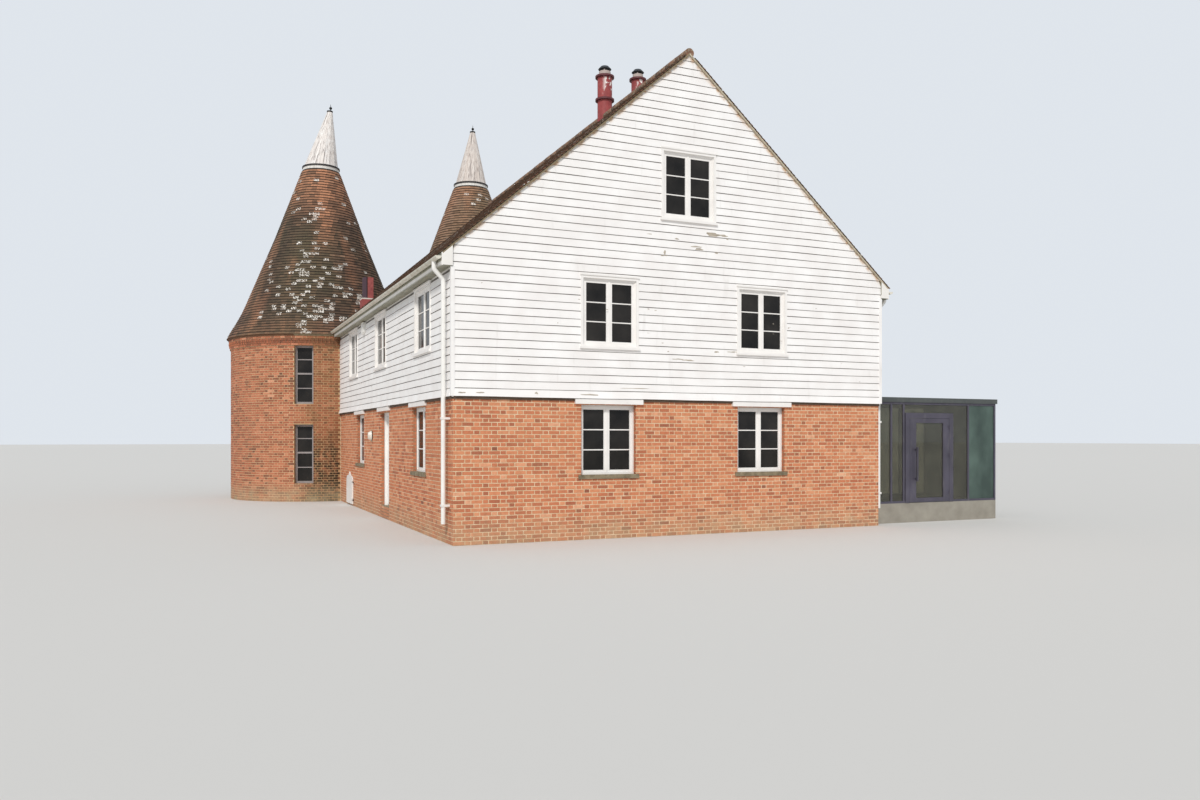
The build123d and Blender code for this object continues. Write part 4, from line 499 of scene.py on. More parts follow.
# %% The barn's four brick walls
WALL_PLATE_GAP = 0.002
for index, side in enumerate(WALL_FRAMES):
    rng = np.random.default_rng(20 + index)
    half = HALF_LENGTH[side] - BRICK_SETBACK
    rects = cut_holes(flemish_courses(-half, half, 0.0, BRICK_TOP - WALL_PLATE_GAP), side, BRICK_HOLES)
    if side == "rear":
        for hand in THROAT_PLACES:
            middle = -THROAT_PLACES[hand]
            rects = cut_round(rects, middle - THROAT_HALF, middle + THROAT_HALF, 0.0, BRICK_TOP)
            away = np.abs((rects[:, 0] + rects[:, 1]) / 2 + ROUNDEL_CENTRES[hand][0])
            rects = rects[away > math.sqrt(ROUNDEL_RADIUS ** 2 - (ROUNDEL_CENTRES[hand][1] - REAR) ** 2)]
    add_strips(f"{side}_bricks", laid_bricks(rects, flat_place(side, BRICK_SETBACK), rng), BARN_BRICK,
               slot="brick", tone=each(brick_tones(rects, rng)))

# %% [markdown]
# Inside each opening the wall's cut shows, and there a brick's side or end is seen. A plain painted jamb
# would show at once in a side view. So one brick to a course, as deep as the reveal, is laid on each jamb
# in the same way as before, on a plane turned square to the wall.

# %% Bricks on the reveals of windows and door
REVEAL = 0.096
REVEAL_PROUD = 0.003
# SHADED darkens the tones of the reveal bricks: painted shade inside the openings.
SHADED = 0.6


def reveal_bricks(side, edge, inward, bottom, top, rng):
    """Bricks on one jamb: s runs from the wall's face inwards, depth runs from the jamb into the opening."""
    origin, across, outward = WALL_FRAMES[side]
    low = math.floor(bottom / COURSE) * COURSE

    def place(s, z, depth):
        s, z, depth = np.broadcast_arrays(s, z, depth)
        return (origin + (edge + inward * depth)[..., None] * across
                - (BRICK_SETBACK + s)[..., None] * outward + z[..., None] * UP)
    rects = flemish_courses(-BRICK_PROUD, REVEAL, low, top)
    rects = clipped(rects, -BRICK_PROUD, REVEAL, bottom, top)
    return laid_bricks(rects, place, rng, REVEAL_PROUD), rects


rng = np.random.default_rng(40)
made = [reveal_bricks(side, middle + hand * width / 2, -hand, bottom, top, rng)
        for side, middle, width, bottom, top in WINDOW_HOLES + DOOR_HOLES[:1] for hand in (-1, 1)]
rects = np.concatenate([rects for rings, rects in made])
add_strips("reveal_bricks", np.concatenate([rings for rings, rects in made]), BARN_BRICK, slot="brick",
           tone=each(brick_tones(rects, rng) * SHADED))

# %% [markdown]
# The two kilns are round, and so are their courses. Each brick could be turned into place one by one, but the
# same rectangles can be laid out on the unrolled wall, cut for the tall windows and bent round by the place
# function. Bricks inside the barn or beyond the flat joint between the kilns are left out. Where a kiln meets
# the barn the wall stays wet and in shade, so the brick there is darkened by how near it stands to the barn,
# and nearly black low in the corner: partly stain and damp, partly painted shade.

# %% Kiln walls
WINDOW_BEARING = math.radians(252.2)
ROUNDEL_WINDOW_HALF = 0.290
ROUNDEL_WINDOWS = ((0.560, 2.380), (3.010, 4.820))
WALL_TOP = 5.110
CORBEL_BOTTOM = 4.810
CORBEL_STEP = 0.015
KILN_JOINT = (ROUNDEL_CENTRES["left"][0] + ROUNDEL_CENTRES["right"][0]) / 2
TURN = 2 * math.pi * ROUNDEL_RADIUS
KILN_BURNT = 0.34


def window_stacks(hand):
    """Arc lengths of the middles of a kiln's window stacks."""
    behind = WINDOW_BEARING - math.pi
    bearings = (WINDOW_BEARING, behind) if hand == "left" else (behind,)
    return [bearing * ROUNDEL_RADIUS for bearing in bearings]


def in_the_open(points, hand, margin):
    """True where a point is outside the barn and on its own kiln's side of the joint."""
    x, y, z = points[..., 0], points[..., 1], points[..., 2]
    in_barn = (y < REAR + margin) & (np.abs(x) < RIGHT + margin) & (z < APEX - np.abs(x) * SLOPE)
    own = x < KILN_JOINT if hand == "left" else x > KILN_JOINT
    return ~in_barn & own


def corner_stain_and_shade(middles):
    """Stain and damp of bricks, both partly painted shade: both fade with the plan distance from the barn,
    damp also with height.
    """
    x, y, z = middles.T
    near = np.hypot(np.maximum(np.abs(x) - RIGHT, 0), np.maximum(y - REAR, 0))
    damp = eased(1.45, 0.65, near) * eased(2.6, 1.2, z)
    return {"stain": each(eased(1.45, 0.75, near)), "damp": each(damp)}


def kiln_strips(name, hand, rings, tones):
    """Keeps the bricks of one kiln that stand in the open and makes them one piece."""
    middles = rings.mean((1, 2))
    seen = in_the_open(middles, hand, -BRICK_SETBACK)
    add_strips(name, rings[seen], KILN_BRICK, slot="roundel_brick", tone=each(tones[seen]),
               **corner_stain_and_shade(middles[seen]))


for index, hand in enumerate(ROUNDEL_CENTRES):
    rng = np.random.default_rng(60 + index)
    rects = flemish_courses(0.0, TURN - JOINT, 0.0, CORBEL_BOTTOM)
    for middle in window_stacks(hand):
        for bottom, top in ROUNDEL_WINDOWS:
            rects = cut_round(rects, middle - ROUNDEL_WINDOW_HALF, middle + ROUNDEL_WINDOW_HALF, bottom, top)
    rings = laid_bricks(rects, round_place(ROUNDEL_CENTRES[hand], ROUNDEL_RADIUS), rng, ROUND_PROUD)
    kiln_strips(f"{hand}_kiln_bricks", hand, rings, brick_tones(rects, rng, KILN_BURNT))

# %% [markdown]
# Under the cone the wall steps out in four oversailing courses. The lowest is a plain string course. The two
# above it are dog-tooth: bricks set at 45 degrees, so that their corners make a row of teeth with shade
# between. The last carries the tiles. A bump pattern can't throw that shade, so each tooth is a short prism,
# its section a square turned on its corner.

# %% Corbel courses with dog-tooth brick
TOOTH_PITCH = 0.112
TOOTH_HALF = 0.054
TOOTH_SUNK = 0.026
TOOTH_BED = 0.002
STRING_PROUD = 0.022
# The bricks behind the teeth take a dark tone: painted shade in the gaps between the teeth.
BACKING_SHADE_TONE = 0.14


def tooth_rings(hand, radius, z0, z1, rng):
    """Bricks turned 45 degrees: a square of half-diagonal TOOTH_HALF at each bearing, from z0 to z1."""
    count = int(TURN / TOOTH_PITCH)
    bearing = (np.arange(count) + 0.5) / count * 2 * math.pi
    reach = TOOTH_HALF + rng.normal(0, 0.0015, count)
    radial = radius - TOOTH_SUNK + np.stack([reach, 0 * reach, -reach, 0 * reach], -1)
    aside = np.stack([0 * reach, reach, 0 * reach, -reach], -1)
    x = ROUNDEL_CENTRES[hand][0] + radial * np.cos(bearing)[:, None] - aside * np.sin(bearing)[:, None]
    y = ROUNDEL_CENTRES[hand][1] + radial * np.sin(bearing)[:, None] + aside * np.cos(bearing)[:, None]
    return np.stack([np.stack([x, y, np.full_like(x, z)], -1) for z in (z0, z1)], 1)


for index, hand in enumerate(ROUNDEL_CENTRES):
    rng = np.random.default_rng(70 + index)
    pieces, tones = [], []
    for step, proud in ((0, STRING_PROUD), (3, ROUND_PROUD)):
        bottom = CORBEL_BOTTOM + step * COURSE
        radius = ROUNDEL_RADIUS + (step + 1) * CORBEL_STEP
        rects = flemish_courses(0.0, 2 * math.pi * radius - JOINT, bottom, bottom + COURSE)
        pieces.append(laid_bricks(rects, round_place(ROUNDEL_CENTRES[hand], radius), rng, proud))
        tones.append(brick_tones(rects, rng))
    for step in (1, 2):
        bottom = CORBEL_BOTTOM + step * COURSE
        radius = ROUNDEL_RADIUS + (step + 1) * CORBEL_STEP
        backs = flemish_courses(0.0, 2 * math.pi * radius, bottom, bottom + COURSE)
        backs[:, 1] = backs[:, 1] + JOINT
        backs[:, 2:4] = bottom, bottom + COURSE
        pieces.append(laid_bricks(backs, round_place(ROUNDEL_CENTRES[hand], radius), rng, ROUND_PROUD))
        tones.append(np.full(len(backs), BACKING_SHADE_TONE))
        pieces.append(tooth_rings(hand, radius, bottom + TOOTH_BED, bottom + COURSE - TOOTH_BED, rng))
        tones.append(rng.beta(2.0, 2.0, len(pieces[-1])) * 0.75)
    kiln_strips(f"{hand}_kiln_corbel", hand, np.concatenate(pieces), np.concatenate(tones))

# %% [markdown]
# The upper walls are weatherboarded: feather-edged deal boards 152 mm apart, each lapped 30 mm over the one
# below, so its thick foot stands proud and throws a thin shadow. Lines in a material would give no shadow
# and no ragged outline, so the boards are wedges with real laps. A board is never quite straight: the foot
# of each row wanders a few millimetres along its length. The lowest row kicks out over the brick.

# %% Paint on the boards
VERGE_LINE = APEX - VERGE_LAYER / math.cos(ROOF_PITCH)
VERGE_STAIN = 0.13

# White oil paint on deal has a low sheen that softens the light. The last 12 mm under each lap is painted
# dark as painted shade, which draws the crisp lines of the wall; faint runs break up the white, and
# rust-coloured water from the tiles has stained the boards next to the verge.
BOARD_PAINT, tree, shader, place = start_material("oil_painted_deal_board", 0.6)
colour = mottled(tree, place, 2.2, [(0.3, "#f1edea"), (0.7, "#faf8f6")])
colour = weathered(tree, place, colour, ("#a0968a", 1.0, [(0.62, 0.0), (0.80, 0.16)], 4.0, (9.0, 9.0, 1.3)))
# Painted shade: a dark line at the top of each board's shown face, under the lap above.
lap_shade = {"stops": [(0.755, 0.0), (0.785, 0.95)]}
painted_lap_shade = add_node(tree, "ShaderNodeValToRGB", 0, lap_shade, Fac=add_node(tree, *RISE))
colour = add_node(tree, *MIX, i0=painted_lap_shade, i6=colour, i7="#544b45")
apart = add_node(tree, "ShaderNodeSeparateXYZ", Vector=place).node
away = add_node(tree, "ShaderNodeMath", 0, {"operation": "ABSOLUTE"}, i0=apart.outputs[0])
level = add_node(tree, *RAISED, i0=away, i1=SLOPE, i2=apart.outputs[2])
near = add_node(tree, *EASED, Value=level, i1=VERGE_LINE - VERGE_STAIN, i2=VERGE_LINE, i3=0.0, i4=0.9)
patchy = mottled(tree, place, 9.0, [(0.38, 0.0), (0.62, 1.0)])
colour = add_node(tree, *MIX, i0=add_node(tree, *TIMES, i0=near, i1=patchy), i6=colour, i7="#c39a6c")
grain = add_node(tree, "ShaderNodeMapping", Vector=place, Scale=(4.0, 4.0, 90.0))
fibre = add_node(tree, "ShaderNodeTexNoise", Vector=grain, Scale=1.0, Detail=3.0)
lay_on(tree, shader, colour, fibre, 0.0012, 0.3)
print("boards end under the line of height", VERGE_LINE, "at the middle of the gable")

# %% [markdown]
# A row of boards is a rectangle on the wall, like a brick, only as long as the wall. It is parted over the
# studs, cut round the windows and then divided into stations, so that its foot can wander and its ends can
# follow the slope of the roof. A wedge carried along a path does all of this in one array.

# %% Boards laid, cut and carried along the walls
EXPOSURE = 0.1525
LAP = 0.030
BOARD_FOOT = 2.722
STATIONS = 20
CORNER_BOARD = 0.060
KICK = 0.026
STUD_SPACING = 0.600
ROWS = 50
JOINTS_AT_MOST = 3
BUTT_HALF = 0.0004
FACE_AT_FOOT, FACE_TAPER, BACK_AT_FOOT = 0.024, 0.0185, 0.0085
FOOT_WANDER, FOOT_CUP = 0.0026, 0.0016


def butted(rects, rng):
    """Rows parted over a stud where one board ends and the next begins, 0.8 mm apart. A board is 3.0 to 5.2 m
    long, rounded to the studs."""
    made = []
    for _ in range(JOINTS_AT_MOST):
        joint = np.round((rects[:, 0] + rng.uniform(3.0, 5.2, len(rects))) / STUD_SPACING) * STUD_SPACING
        far = rects[:, 1] - joint > STUD_SPACING
        end = np.where(far, joint - BUTT_HALF, rects[:, 1])
        made.append(np.stack([rects[:, 0], end, rects[:, 2], rects[:, 3]], -1))
        rects = np.stack([joint + BUTT_HALF, rects[:, 1], rects[:, 2], rects[:, 3]], -1)[far]
    return np.concatenate([*made, rects])


def slow_waves(position, row, rng, size):
    """Sum of three sines along the wall, 0.9 to 3.4 m long, each row of boards with phases of its own."""
    total = 0
    for length in (0.9, 1.7, 3.4):
        phase = rng.uniform(0, 2 * math.pi, (ROWS, 1))[row]
        total = total + np.sin(2 * math.pi * position / length + phase) * size * length / 3.4
    return total


def board_rings(rects, rng, side, ends=None):
    """Rings of four points, outer foot, inner foot, inner head and outer head, at each station of each board,
    and the share of its row's height at each. The foot stands 15 mm proud over the board below. Ends gives
    the half width of the wall at a height."""
    row = np.floor((rects[:, 2] - BOARD_FOOT) / EXPOSURE + 0.001).astype(int)
    along = np.linspace(0, 1, STATIONS)[None, :, None]
    low, high = rects[:, 2], rects[:, 3] + LAP
    z = np.stack([low, low, high, high], -1)[:, None, :] * np.ones_like(along)
    start = np.repeat(rects[:, 0][:, None, None], 4, 2)
    end = np.repeat(rects[:, 1][:, None, None], 4, 2)
    if ends is not None:
        limit = np.maximum(ends(z[:, :1]), 0.002)
        start = np.clip(start, -limit, limit)
        end = np.clip(end, -limit, limit)
    s = start + (end - start) * along
    share = (z[:, :1] - BOARD_FOOT - each(row) * EXPOSURE) / (EXPOSURE + LAP)
    outer, inner = FACE_AT_FOOT - FACE_TAPER * share, BACK_AT_FOOT * (1 - share)
    at_foot = np.array([1, 1, 0, 0])
    lift = slow_waves(s[..., 0], row, rng, FOOT_WANDER)[..., None] * at_foot
    cup = slow_waves(s[..., 0], row, rng, FOOT_CUP)[..., None] * at_foot
    depth = np.where(np.array([True, False, False, True]), outer, inner) + cup
    depth = depth + each(row == 0) * KICK * at_foot
    return flat_place(side, BOARD_LINING)(s, z + lift, depth), share


def gable_half(z):
    """Half width of the gable at a height, under the verge tiles."""
    return (VERGE_LINE - z) / SLOPE


SIDE_BOARD_TOP = 5.075
CORNER_BOARD_LAP = 0.080
THROAT_BOARDS = 0.800
SHORTEST_ROW = 0.100
for index, side in enumerate(WALL_FRAMES):
    rng = np.random.default_rng(80 + index)
    gable = side in ("front", "rear")
    top = APEX if gable else SIDE_BOARD_TOP
    z = BOARD_FOOT + np.arange(math.ceil((top - SHORTEST_ROW - BOARD_FOOT) / EXPOSURE)) * EXPOSURE
    half = np.full_like(z, HALF_LENGTH[side] - CORNER_BOARD)
    if gable:
        above_corner = z > SIDE_BOARD_TOP - CORNER_BOARD_LAP
        half = np.minimum(np.where(above_corner, RIGHT, half), np.maximum(gable_half(z), 0.01))
    rects = butted(np.stack([-half, half, z, np.minimum(z + EXPOSURE, top)], -1), rng)
    rects = cut_holes(rects, side, BOARD_HOLES)
    if side == "rear":
        for middle in THROAT_PLACES.values():
            rects = cut_round(rects, -middle - THROAT_BOARDS, -middle + THROAT_BOARDS, 0.0, WALL_TOP)
    rings, share = board_rings(rects, rng, side, gable_half if gable else None)
    add_strips(f"{side}_boards", rings, BOARD_PAINT, slot="weatherboard", rise=share)

# %% [markdown]
# Upright corner boards cover the ends of the weatherboards, and an oak plate shows between the lintel
# boards under the lowest row, coloured nearly black as painted shade under the boards. Both are plain sawn
# timber, so there is nothing to carve: boxes from arrays of corners are enough, and the plate is cut like a
# row of bricks.

# %% Corner boards and sole plate
CORNER_PROUD = 0.030
FOOT_CLEAR = 0.002
corners = []
for hand in (-1, 1):
    for end, plane in ((-1, FRONT), (1, REAR)):
        outer = hand * (RIGHT + CORNER_PROUD - BOARD_LINING)
        on_end = sorted((plane - end * BOARD_LINING, plane + end * (CORNER_PROUD - BOARD_LINING)))
        corners.append((sorted((hand * (RIGHT - CORNER_BOARD), outer)), on_end))
        on_side = sorted((plane - end * CORNER_BOARD, plane - end * BOARD_LINING * 0.999))
        corners.append((sorted((hand * (RIGHT - BOARD_LINING), outer)), on_side))
corners = np.array(corners)
feet, heads = (np.full((len(corners), 1), z) for z in (BOARD_FOOT + FOOT_CLEAR, SIDE_BOARD_TOP))
add_strips("corner_boards", blocks(np.hstack([corners[..., 0], feet]), np.hstack([corners[..., 1], heads])),
           BOARD_PAINT, slot="weatherboard", rise=0.3)

# The plate is painted nearly black with brown grain along its length, as painted shade under the lowest
# boards, and gives the wall its dark middle line.
SHADE_DARK_OAK = plain_finish("oak_plate_painted_shade", 0.85, (
    1.0, [(0.3, "#4a3b30"), (0.7, "#786553")], 4.0, (4.0, 4.0, 90.0)), peak=0.002, strength=0.6)

PLATE_FOOT, PLATE_TOP, PLATE_PROUD = 2.672, 2.728, 0.030
REAR_PLATE_END = -2.95
LINTELS = [(side, middle, LINTEL_WIDTH, -FAR, FAR) for side, middle, *_ in WINDOW_HOLES + DOOR_HOLES[:1]]
rng = np.random.default_rng(95)
plates = []
for side in WALL_FRAMES:
    half = HALF_LENGTH[side] - BRICK_SETBACK
    rects = cut_holes(np.array([[-half, half, PLATE_FOOT, PLATE_TOP]]), side, LINTELS)
    if side == "rear":
        rects = clipped(rects, -half, REAR_PLATE_END, -FAR, FAR)
    plates.append(laid_bricks(rects, flat_place(side, BRICK_SETBACK), rng, PLATE_PROUD))
add_strips("sole_plates", np.concatenate(plates), SHADE_DARK_OAK, slot="floor_boards")

# %% [markdown]
# Where the paint has let go, bare deal shows in flakes. A noise mask could scatter them, but the larger
# ones sit where boards were patched, so each is placed one by one. A flake is a thin irregular disc laid on
# the board: its edge is a circle whose radius wanders, so a ring of points makes it. Small flecks are
# strewn at random.

# %% Bare patches in the paint
# Bare deal is matt and grey-brown, with darker grain lines along the board.
BARE_DEAL = plain_finish("bare_weathered_deal", 0.9, (
    1.0, [(0.25, "#857a6c"), (0.5, "#b4a999"), (0.75, "#d0c6b7")], 4.0, (6.0, 6.0, 70.0)))

FLAKE_POINTS = 16
FLAKE_THICK = 0.0020
FLAKE_SUNK = 0.004
FLAKE_WANDER = 0.17
# Each large flake by its place along the gable, its height, its half width and its half height.
FLAKES = [
    (0.560, 6.110, 0.150, 0.050), (0.780, 6.120, 0.130, 0.022), (0.900, 6.075, 0.035, 0.028),
    (0.170, 5.840, 0.130, 0.014), (0.230, 5.790, 0.075, 0.030), (0.656, 5.770, 0.055, 0.030),
    (-0.555, 5.660, 0.020, 0.055), (-0.560, 5.610, 0.080, 0.016), (-0.279, 5.960, 0.040, 0.016),
    (-0.894, 6.006, 0.060, 0.006), (1.190, 6.240, 0.040, 0.012), (-0.250, 3.545, 0.120, 0.010),
    (-0.020, 3.530, 0.120, 0.014), (0.649, 3.723, 0.060, 0.014), (1.020, 3.737, 0.110, 0.010),
    (-1.449, 5.108, 0.260, 0.008), (-4.374, 2.794, 0.070, 0.010), (-4.717, 2.787, 0.060, 0.012),
    (-3.282, 2.803, 0.035, 0.016), (-2.180, 2.793, 0.160, 0.012), (-1.200, 2.935, 0.300, 0.007),
    (0.020, 5.150, 0.050, 0.007), (-0.474, 3.690, 0.020, 0.010), (2.420, 4.300, 0.020, 0.012),
]


def board_face_depth(z):
    """How far the boards' face stands before the frame at a height: most at a foot, least at the lap."""
    share = np.mod(z - BOARD_FOOT, EXPOSURE) / (EXPOSURE + LAP)
    return FACE_AT_FOOT - FACE_TAPER * share


def flake_rings(side, middles, rng):
    """Irregular discs: radius 1 + three sines of the bearing, scaled to each half width and height."""
    count = len(middles)
    bearing = np.linspace(0, 2 * math.pi, FLAKE_POINTS, endpoint=False)[None]
    radius = 1.0
    for turns in (2, 3, 5):
        radius = radius + FLAKE_WANDER * np.sin(turns * bearing + rng.uniform(0, 2 * math.pi, (count, 1)))
    s = middles[:, 0:1] + middles[:, 2:3] * radius * np.cos(bearing)
    z = middles[:, 1:2] + middles[:, 3:4] * radius * np.sin(bearing)
    row = np.floor((middles[:, 1:2] - BOARD_FOOT) / EXPOSURE)
    z = np.clip(z, BOARD_FOOT + row * EXPOSURE + 0.003, BOARD_FOOT + (row + 1) * EXPOSURE - 0.004)
    face = board_face_depth(z) + (row == 0) * KICK * 0.8
    depth = np.stack([face - FLAKE_SUNK, face + FLAKE_THICK], 1)
    return flat_place(side, BOARD_LINING)(np.stack([s, s], 1), np.stack([z, z], 1), depth)


rng = np.random.default_rng(97)
flakes = [flake_rings("front", np.array(FLAKES), rng)]
for side, count in (("front", 22), ("left", 40), ("right", 36), ("rear", 24)):
    half = HALF_LENGTH[side] - 0.3
    spots = np.stack([rng.uniform(-half, half, count), rng.uniform(BOARD_FOOT + 0.17, 5.0, count),
                      rng.uniform(0.006, 0.026, count), rng.uniform(0.003, 0.008, count)], -1)
    flakes.append(flake_rings(side, spots, rng))
add_strips("paint_flakes", np.concatenate(flakes), BARE_DEAL, slot="weatherboard")

# %% [markdown]
# The roofs are laid with plain clay tiles, 265 by 165 mm, each course 100 mm above the last and shifted
# half a tile. Burnt clay weathers brown, with moss and painted shade under each lap, and pale lichen in
# crusts. One material for a whole slope would run its patterns across the tiles, so each tile carries its
# own tone, redness and lichen.

# %% Clay tile finishes
def clay_tile(name, stops, olive, red):
    """Weathered clay tile, matt and rough: each tile's tone and redness, slow sweeps of olive and of red,
    soot in 40 mm spots, a dark band in the top third of what shows, which is moss and painted shade under
    the lap above, and 40 mm crusts of lichen on the tiles that carry it."""
    material, tree, shader, place = start_material(name, 0.88)
    colour = add_node(tree, "ShaderNodeValToRGB", 0, {"stops": stops}, Fac=add_node(tree, *TONE))
    colour = weathered(tree, place, colour, (olive, 0.55, [(0.36, 0.0), (0.62, 0.68)], 3.0, (1.0, 1.0, 0.35)),
                       (red, 0.9, [(0.52, 0.0), (0.70, 0.45)], 3.0, (1.4, 1.4, 0.25)))
    colour = add_node(tree, *MIX, i0=add_node(tree, *RED), i6=colour, i7=red)
    colour = weathered(tree, place, colour, ("#3a2f26", 24.0, [(0.42, 0.0), (0.72, 0.45)]))
    # Painted shade, partly moss: the upper part of each tile's shown face is darkened under the tile above.
    head_shade = {"stops": [(0.44, 0.0), (0.66, 1.0)]}
    moss = add_node(tree, "ShaderNodeValToRGB", 0, head_shade, Fac=add_node(tree, *RISE))
    colour = add_node(tree, *MIX, i0=moss, i6=colour, i7="#221b15")
    spots = mottled(tree, place, 26.0, [(0.50, 0.0), (0.54, 1.0)], 4.0, (1.0, 1.0, 1.5))
    crust = add_node(tree, *TIMES, i0=spots, i1=add_node(tree, *LICHEN))
    colour = add_node(tree, *MIX, i0=crust, i6=colour, i7="#f8f3ea")
    rough = add_node(tree, "ShaderNodeTexNoise", Vector=place, Scale=120.0, Detail=4.0)
    lay_on(tree, shader, colour, rough, 0.003, 0.7)
    return material


BARN_TILE = clay_tile("weathered_clay_roof_tile", [
    (0.0, "#54402f"), (0.3, "#6c5140"), (0.6, "#7c5b47"), (0.85, "#8f6750"), (1.0, "#a3745a"),
], "#665e48", "#8d5439")
KILN_TILE = clay_tile("weathered_clay_kiln_tile", [
    (0.0, "#3a2d22"), (0.3, "#524033"), (0.6, "#685040"), (0.85, "#84644f"), (1.0, "#b08c74"),
], "#5f583f", "#cb8f6b")

# The edges of the roofs are pointed with grey-buff cement, painted darker on the left as painted shade, and
# under the cones they are brown tile. Their tops are seen only through the hair gaps between tiles, and are
# painted near black as painted shade in those gaps.
VERGE_REACH = 0.012
KILN_EDGE = REAR + VERGE_REACH + 0.05
LIES_FLAT = 0.15
VERGE_BED, tree, shader, place = start_material("cement_pointed_roof_edge", 0.95)
cement = mottled(tree, place, 14.0, [(0.3, "#b1a48d"), (0.7, "#d0c4ae")])
specks = mottled(tree, place, 45.0, [(0.55, 0.0), (0.66, 0.6)], 3.0)
cement = add_node(tree, *MIX, i0=specks, i6=cement, i7="#4a4136")
apart = add_node(tree, "ShaderNodeSeparateXYZ", Vector=place).node
# Painted shade: the cement on the left slope is darker.
cement = add_node(tree, *MIX, i0=add_node(tree, *ABOVE, i0=0.0, i1=apart.outputs[0]), i6=cement, i7="#8b7c63")
round_kiln = add_node(tree, *ABOVE, i0=apart.outputs[1], i1=KILN_EDGE)
cement = add_node(tree, *MIX, i0=round_kiln, i6=cement, i7="#6f4f39")
normal = add_node(tree, "ShaderNodeNewGeometry", "Normal")
# Painted shade: faces that lie flat are painted near black, as in the gaps between tiles.
facing = add_node(tree, *ABOVE, i0=add_node(tree, "ShaderNodeSeparateXYZ", 2, Vector=normal), i1=LIES_FLAT)
lay_on(tree, shader, add_node(tree, *MIX, i0=facing, i6=cement, i7="#241d17"), specks, 0.002, 0.5)
print("tiles and their bed", BARN_TILE.name, KILN_TILE.name, VERGE_BED.name)

# %% [markdown]
# Only the lowest part of a tile shows, so each is a short box 12 mm thick that leans on the course below.
# Whole tiles would hide three quarters of their faces under the next ones. A slope is unrolled like a wall:
# s along the eaves, t up the slope and a lift above it. Each tile lies a little askew, as hung tiles do.

# %% Tiles of the barn roof
TILE_WIDTH = 0.165
TILE_GAUGE = 0.100
TILE_SHOWN = 0.128
TILE_THICK = 0.012
TILE_SEAT = 0.001
TILE_GAP = 0.0012
TILE_CLEAR = 0.001
SMALLEST_TILE = 0.03
ROOF_HEARTS = 16
LICHEN_CHANCE, LICHEN_ANYWHERE = 0.40, 0.035
# Stacks that stand through the tiles: x and y of the middle, then the radius or the half width.
FLUES = ((0.020, -2.510, 0.178), (1.330, -1.670, 0.166))
CHIMNEY = (-4.300, 5.200, 0.200)
FLUE_CLEAR, CHIMNEY_CLEAR = 0.010, 0.020
TAIL_TO_HEAD = np.array([0.0, 1.0])[None, :, None]


def tile_rings(s0, s1, t0, t1, surface, rng):
    """Tiles as boxes that lean: the tail, at t0, lies on the tile below and the head, at t1, on the batten.
    Surface gives the point at s along, t up the slope and a height above it."""
    count = len(s0)
    seats = np.array([TILE_SEAT + TILE_THICK + TILE_CLEAR, TILE_SEAT])[:, None]
    lift = seats + np.array([0, 0, 1, 1]) * TILE_THICK + rng.normal(0, 0.0010, (count, 2, 4))
    sag = rng.normal(0, 0.0018, (count, 1, 1)) * np.array([1, -1, -1, 1])
    s = np.stack([s0, s1, s1, s0], -1)[:, None, :] + np.zeros((1, 2, 1))
    tail = t0 + rng.normal(0, 0.0020, count)
    t = np.stack([tail, t1], 1)[:, :, None] + np.stack([sag[:, 0], 0 * sag[:, 0]], 1)
    return surface(s, t, lift)


def lichen_share(middles, hearts, rng):
    """Lichen on each tile: its chance round a heart (x, y, z, reach) is exp(-(distance / reach) ** 2)."""
    away = np.linalg.norm(middles[:, None] - hearts[None, :, :3], axis=-1)
    chance = np.exp(-(away / hearts[:, 3]) ** 2).max(1) * LICHEN_CHANCE + LICHEN_ANYWHERE
    return each((rng.random(len(middles)) < chance) * rng.uniform(0.60, 1.0, len(middles)))


def scattered_hearts(middles, count, rng):
    """Hearts of lichen at tiles drawn by lot, with reaches from 0.3 to 0.8 m."""
    return np.column_stack([rng.choice(middles, count), rng.uniform(0.3, 0.8, count)])


def barn_surface(hand):
    """Point on a roof slope: y = s, x and z from t up the slope, raised along the slope's normal."""
    cosine, sine = math.cos(ROOF_PITCH), math.sin(ROOF_PITCH)
    edge = APEX - ROOF_FOOT * SLOPE

    def surface(s, t, lift):
        s, t, lift = np.broadcast_arrays(s, t, lift)
        out = ROOF_FOOT - t * cosine + lift * sine
        return np.stack([hand * out, s, edge + t * sine + lift * cosine], -1)
    return surface


def clear_of_stacks(points):
    """False for tiles whose middle is inside a flue or the small chimney."""
    x, y = points[:, 0], points[:, 1]
    reach = CHIMNEY[2] + CHIMNEY_CLEAR
    free = (np.abs(x - CHIMNEY[0]) > reach) | (np.abs(y - CHIMNEY[1]) > reach)
    for flue_x, flue_y, radius in FLUES:
        free &= np.hypot(x - flue_x, y - flue_y) > radius + FLUE_CLEAR
    return free


# The bell-cast outline of a cone from eaves to kerb, as radius and height.
CONE_OUTLINE = [(2.945, 5.185), (2.800, 5.445), (2.630, 5.740), (2.490, 6.010),
                (2.370, 6.290), (1.475, 8.520), (0.600, 10.920)]


def clear_of_kilns(points):
    """False for tiles whose middle is inside either kiln's cone, whose outline gives a radius by height."""
    free = np.ones(len(points), bool)
    radii, heights = np.array(CONE_OUTLINE).T
    for centre in ROUNDEL_CENTRES.values():
        away = np.hypot(points[:, 0] - centre[0], points[:, 1] - centre[1])
        free &= away > np.interp(points[:, 2], heights, radii)
    return free


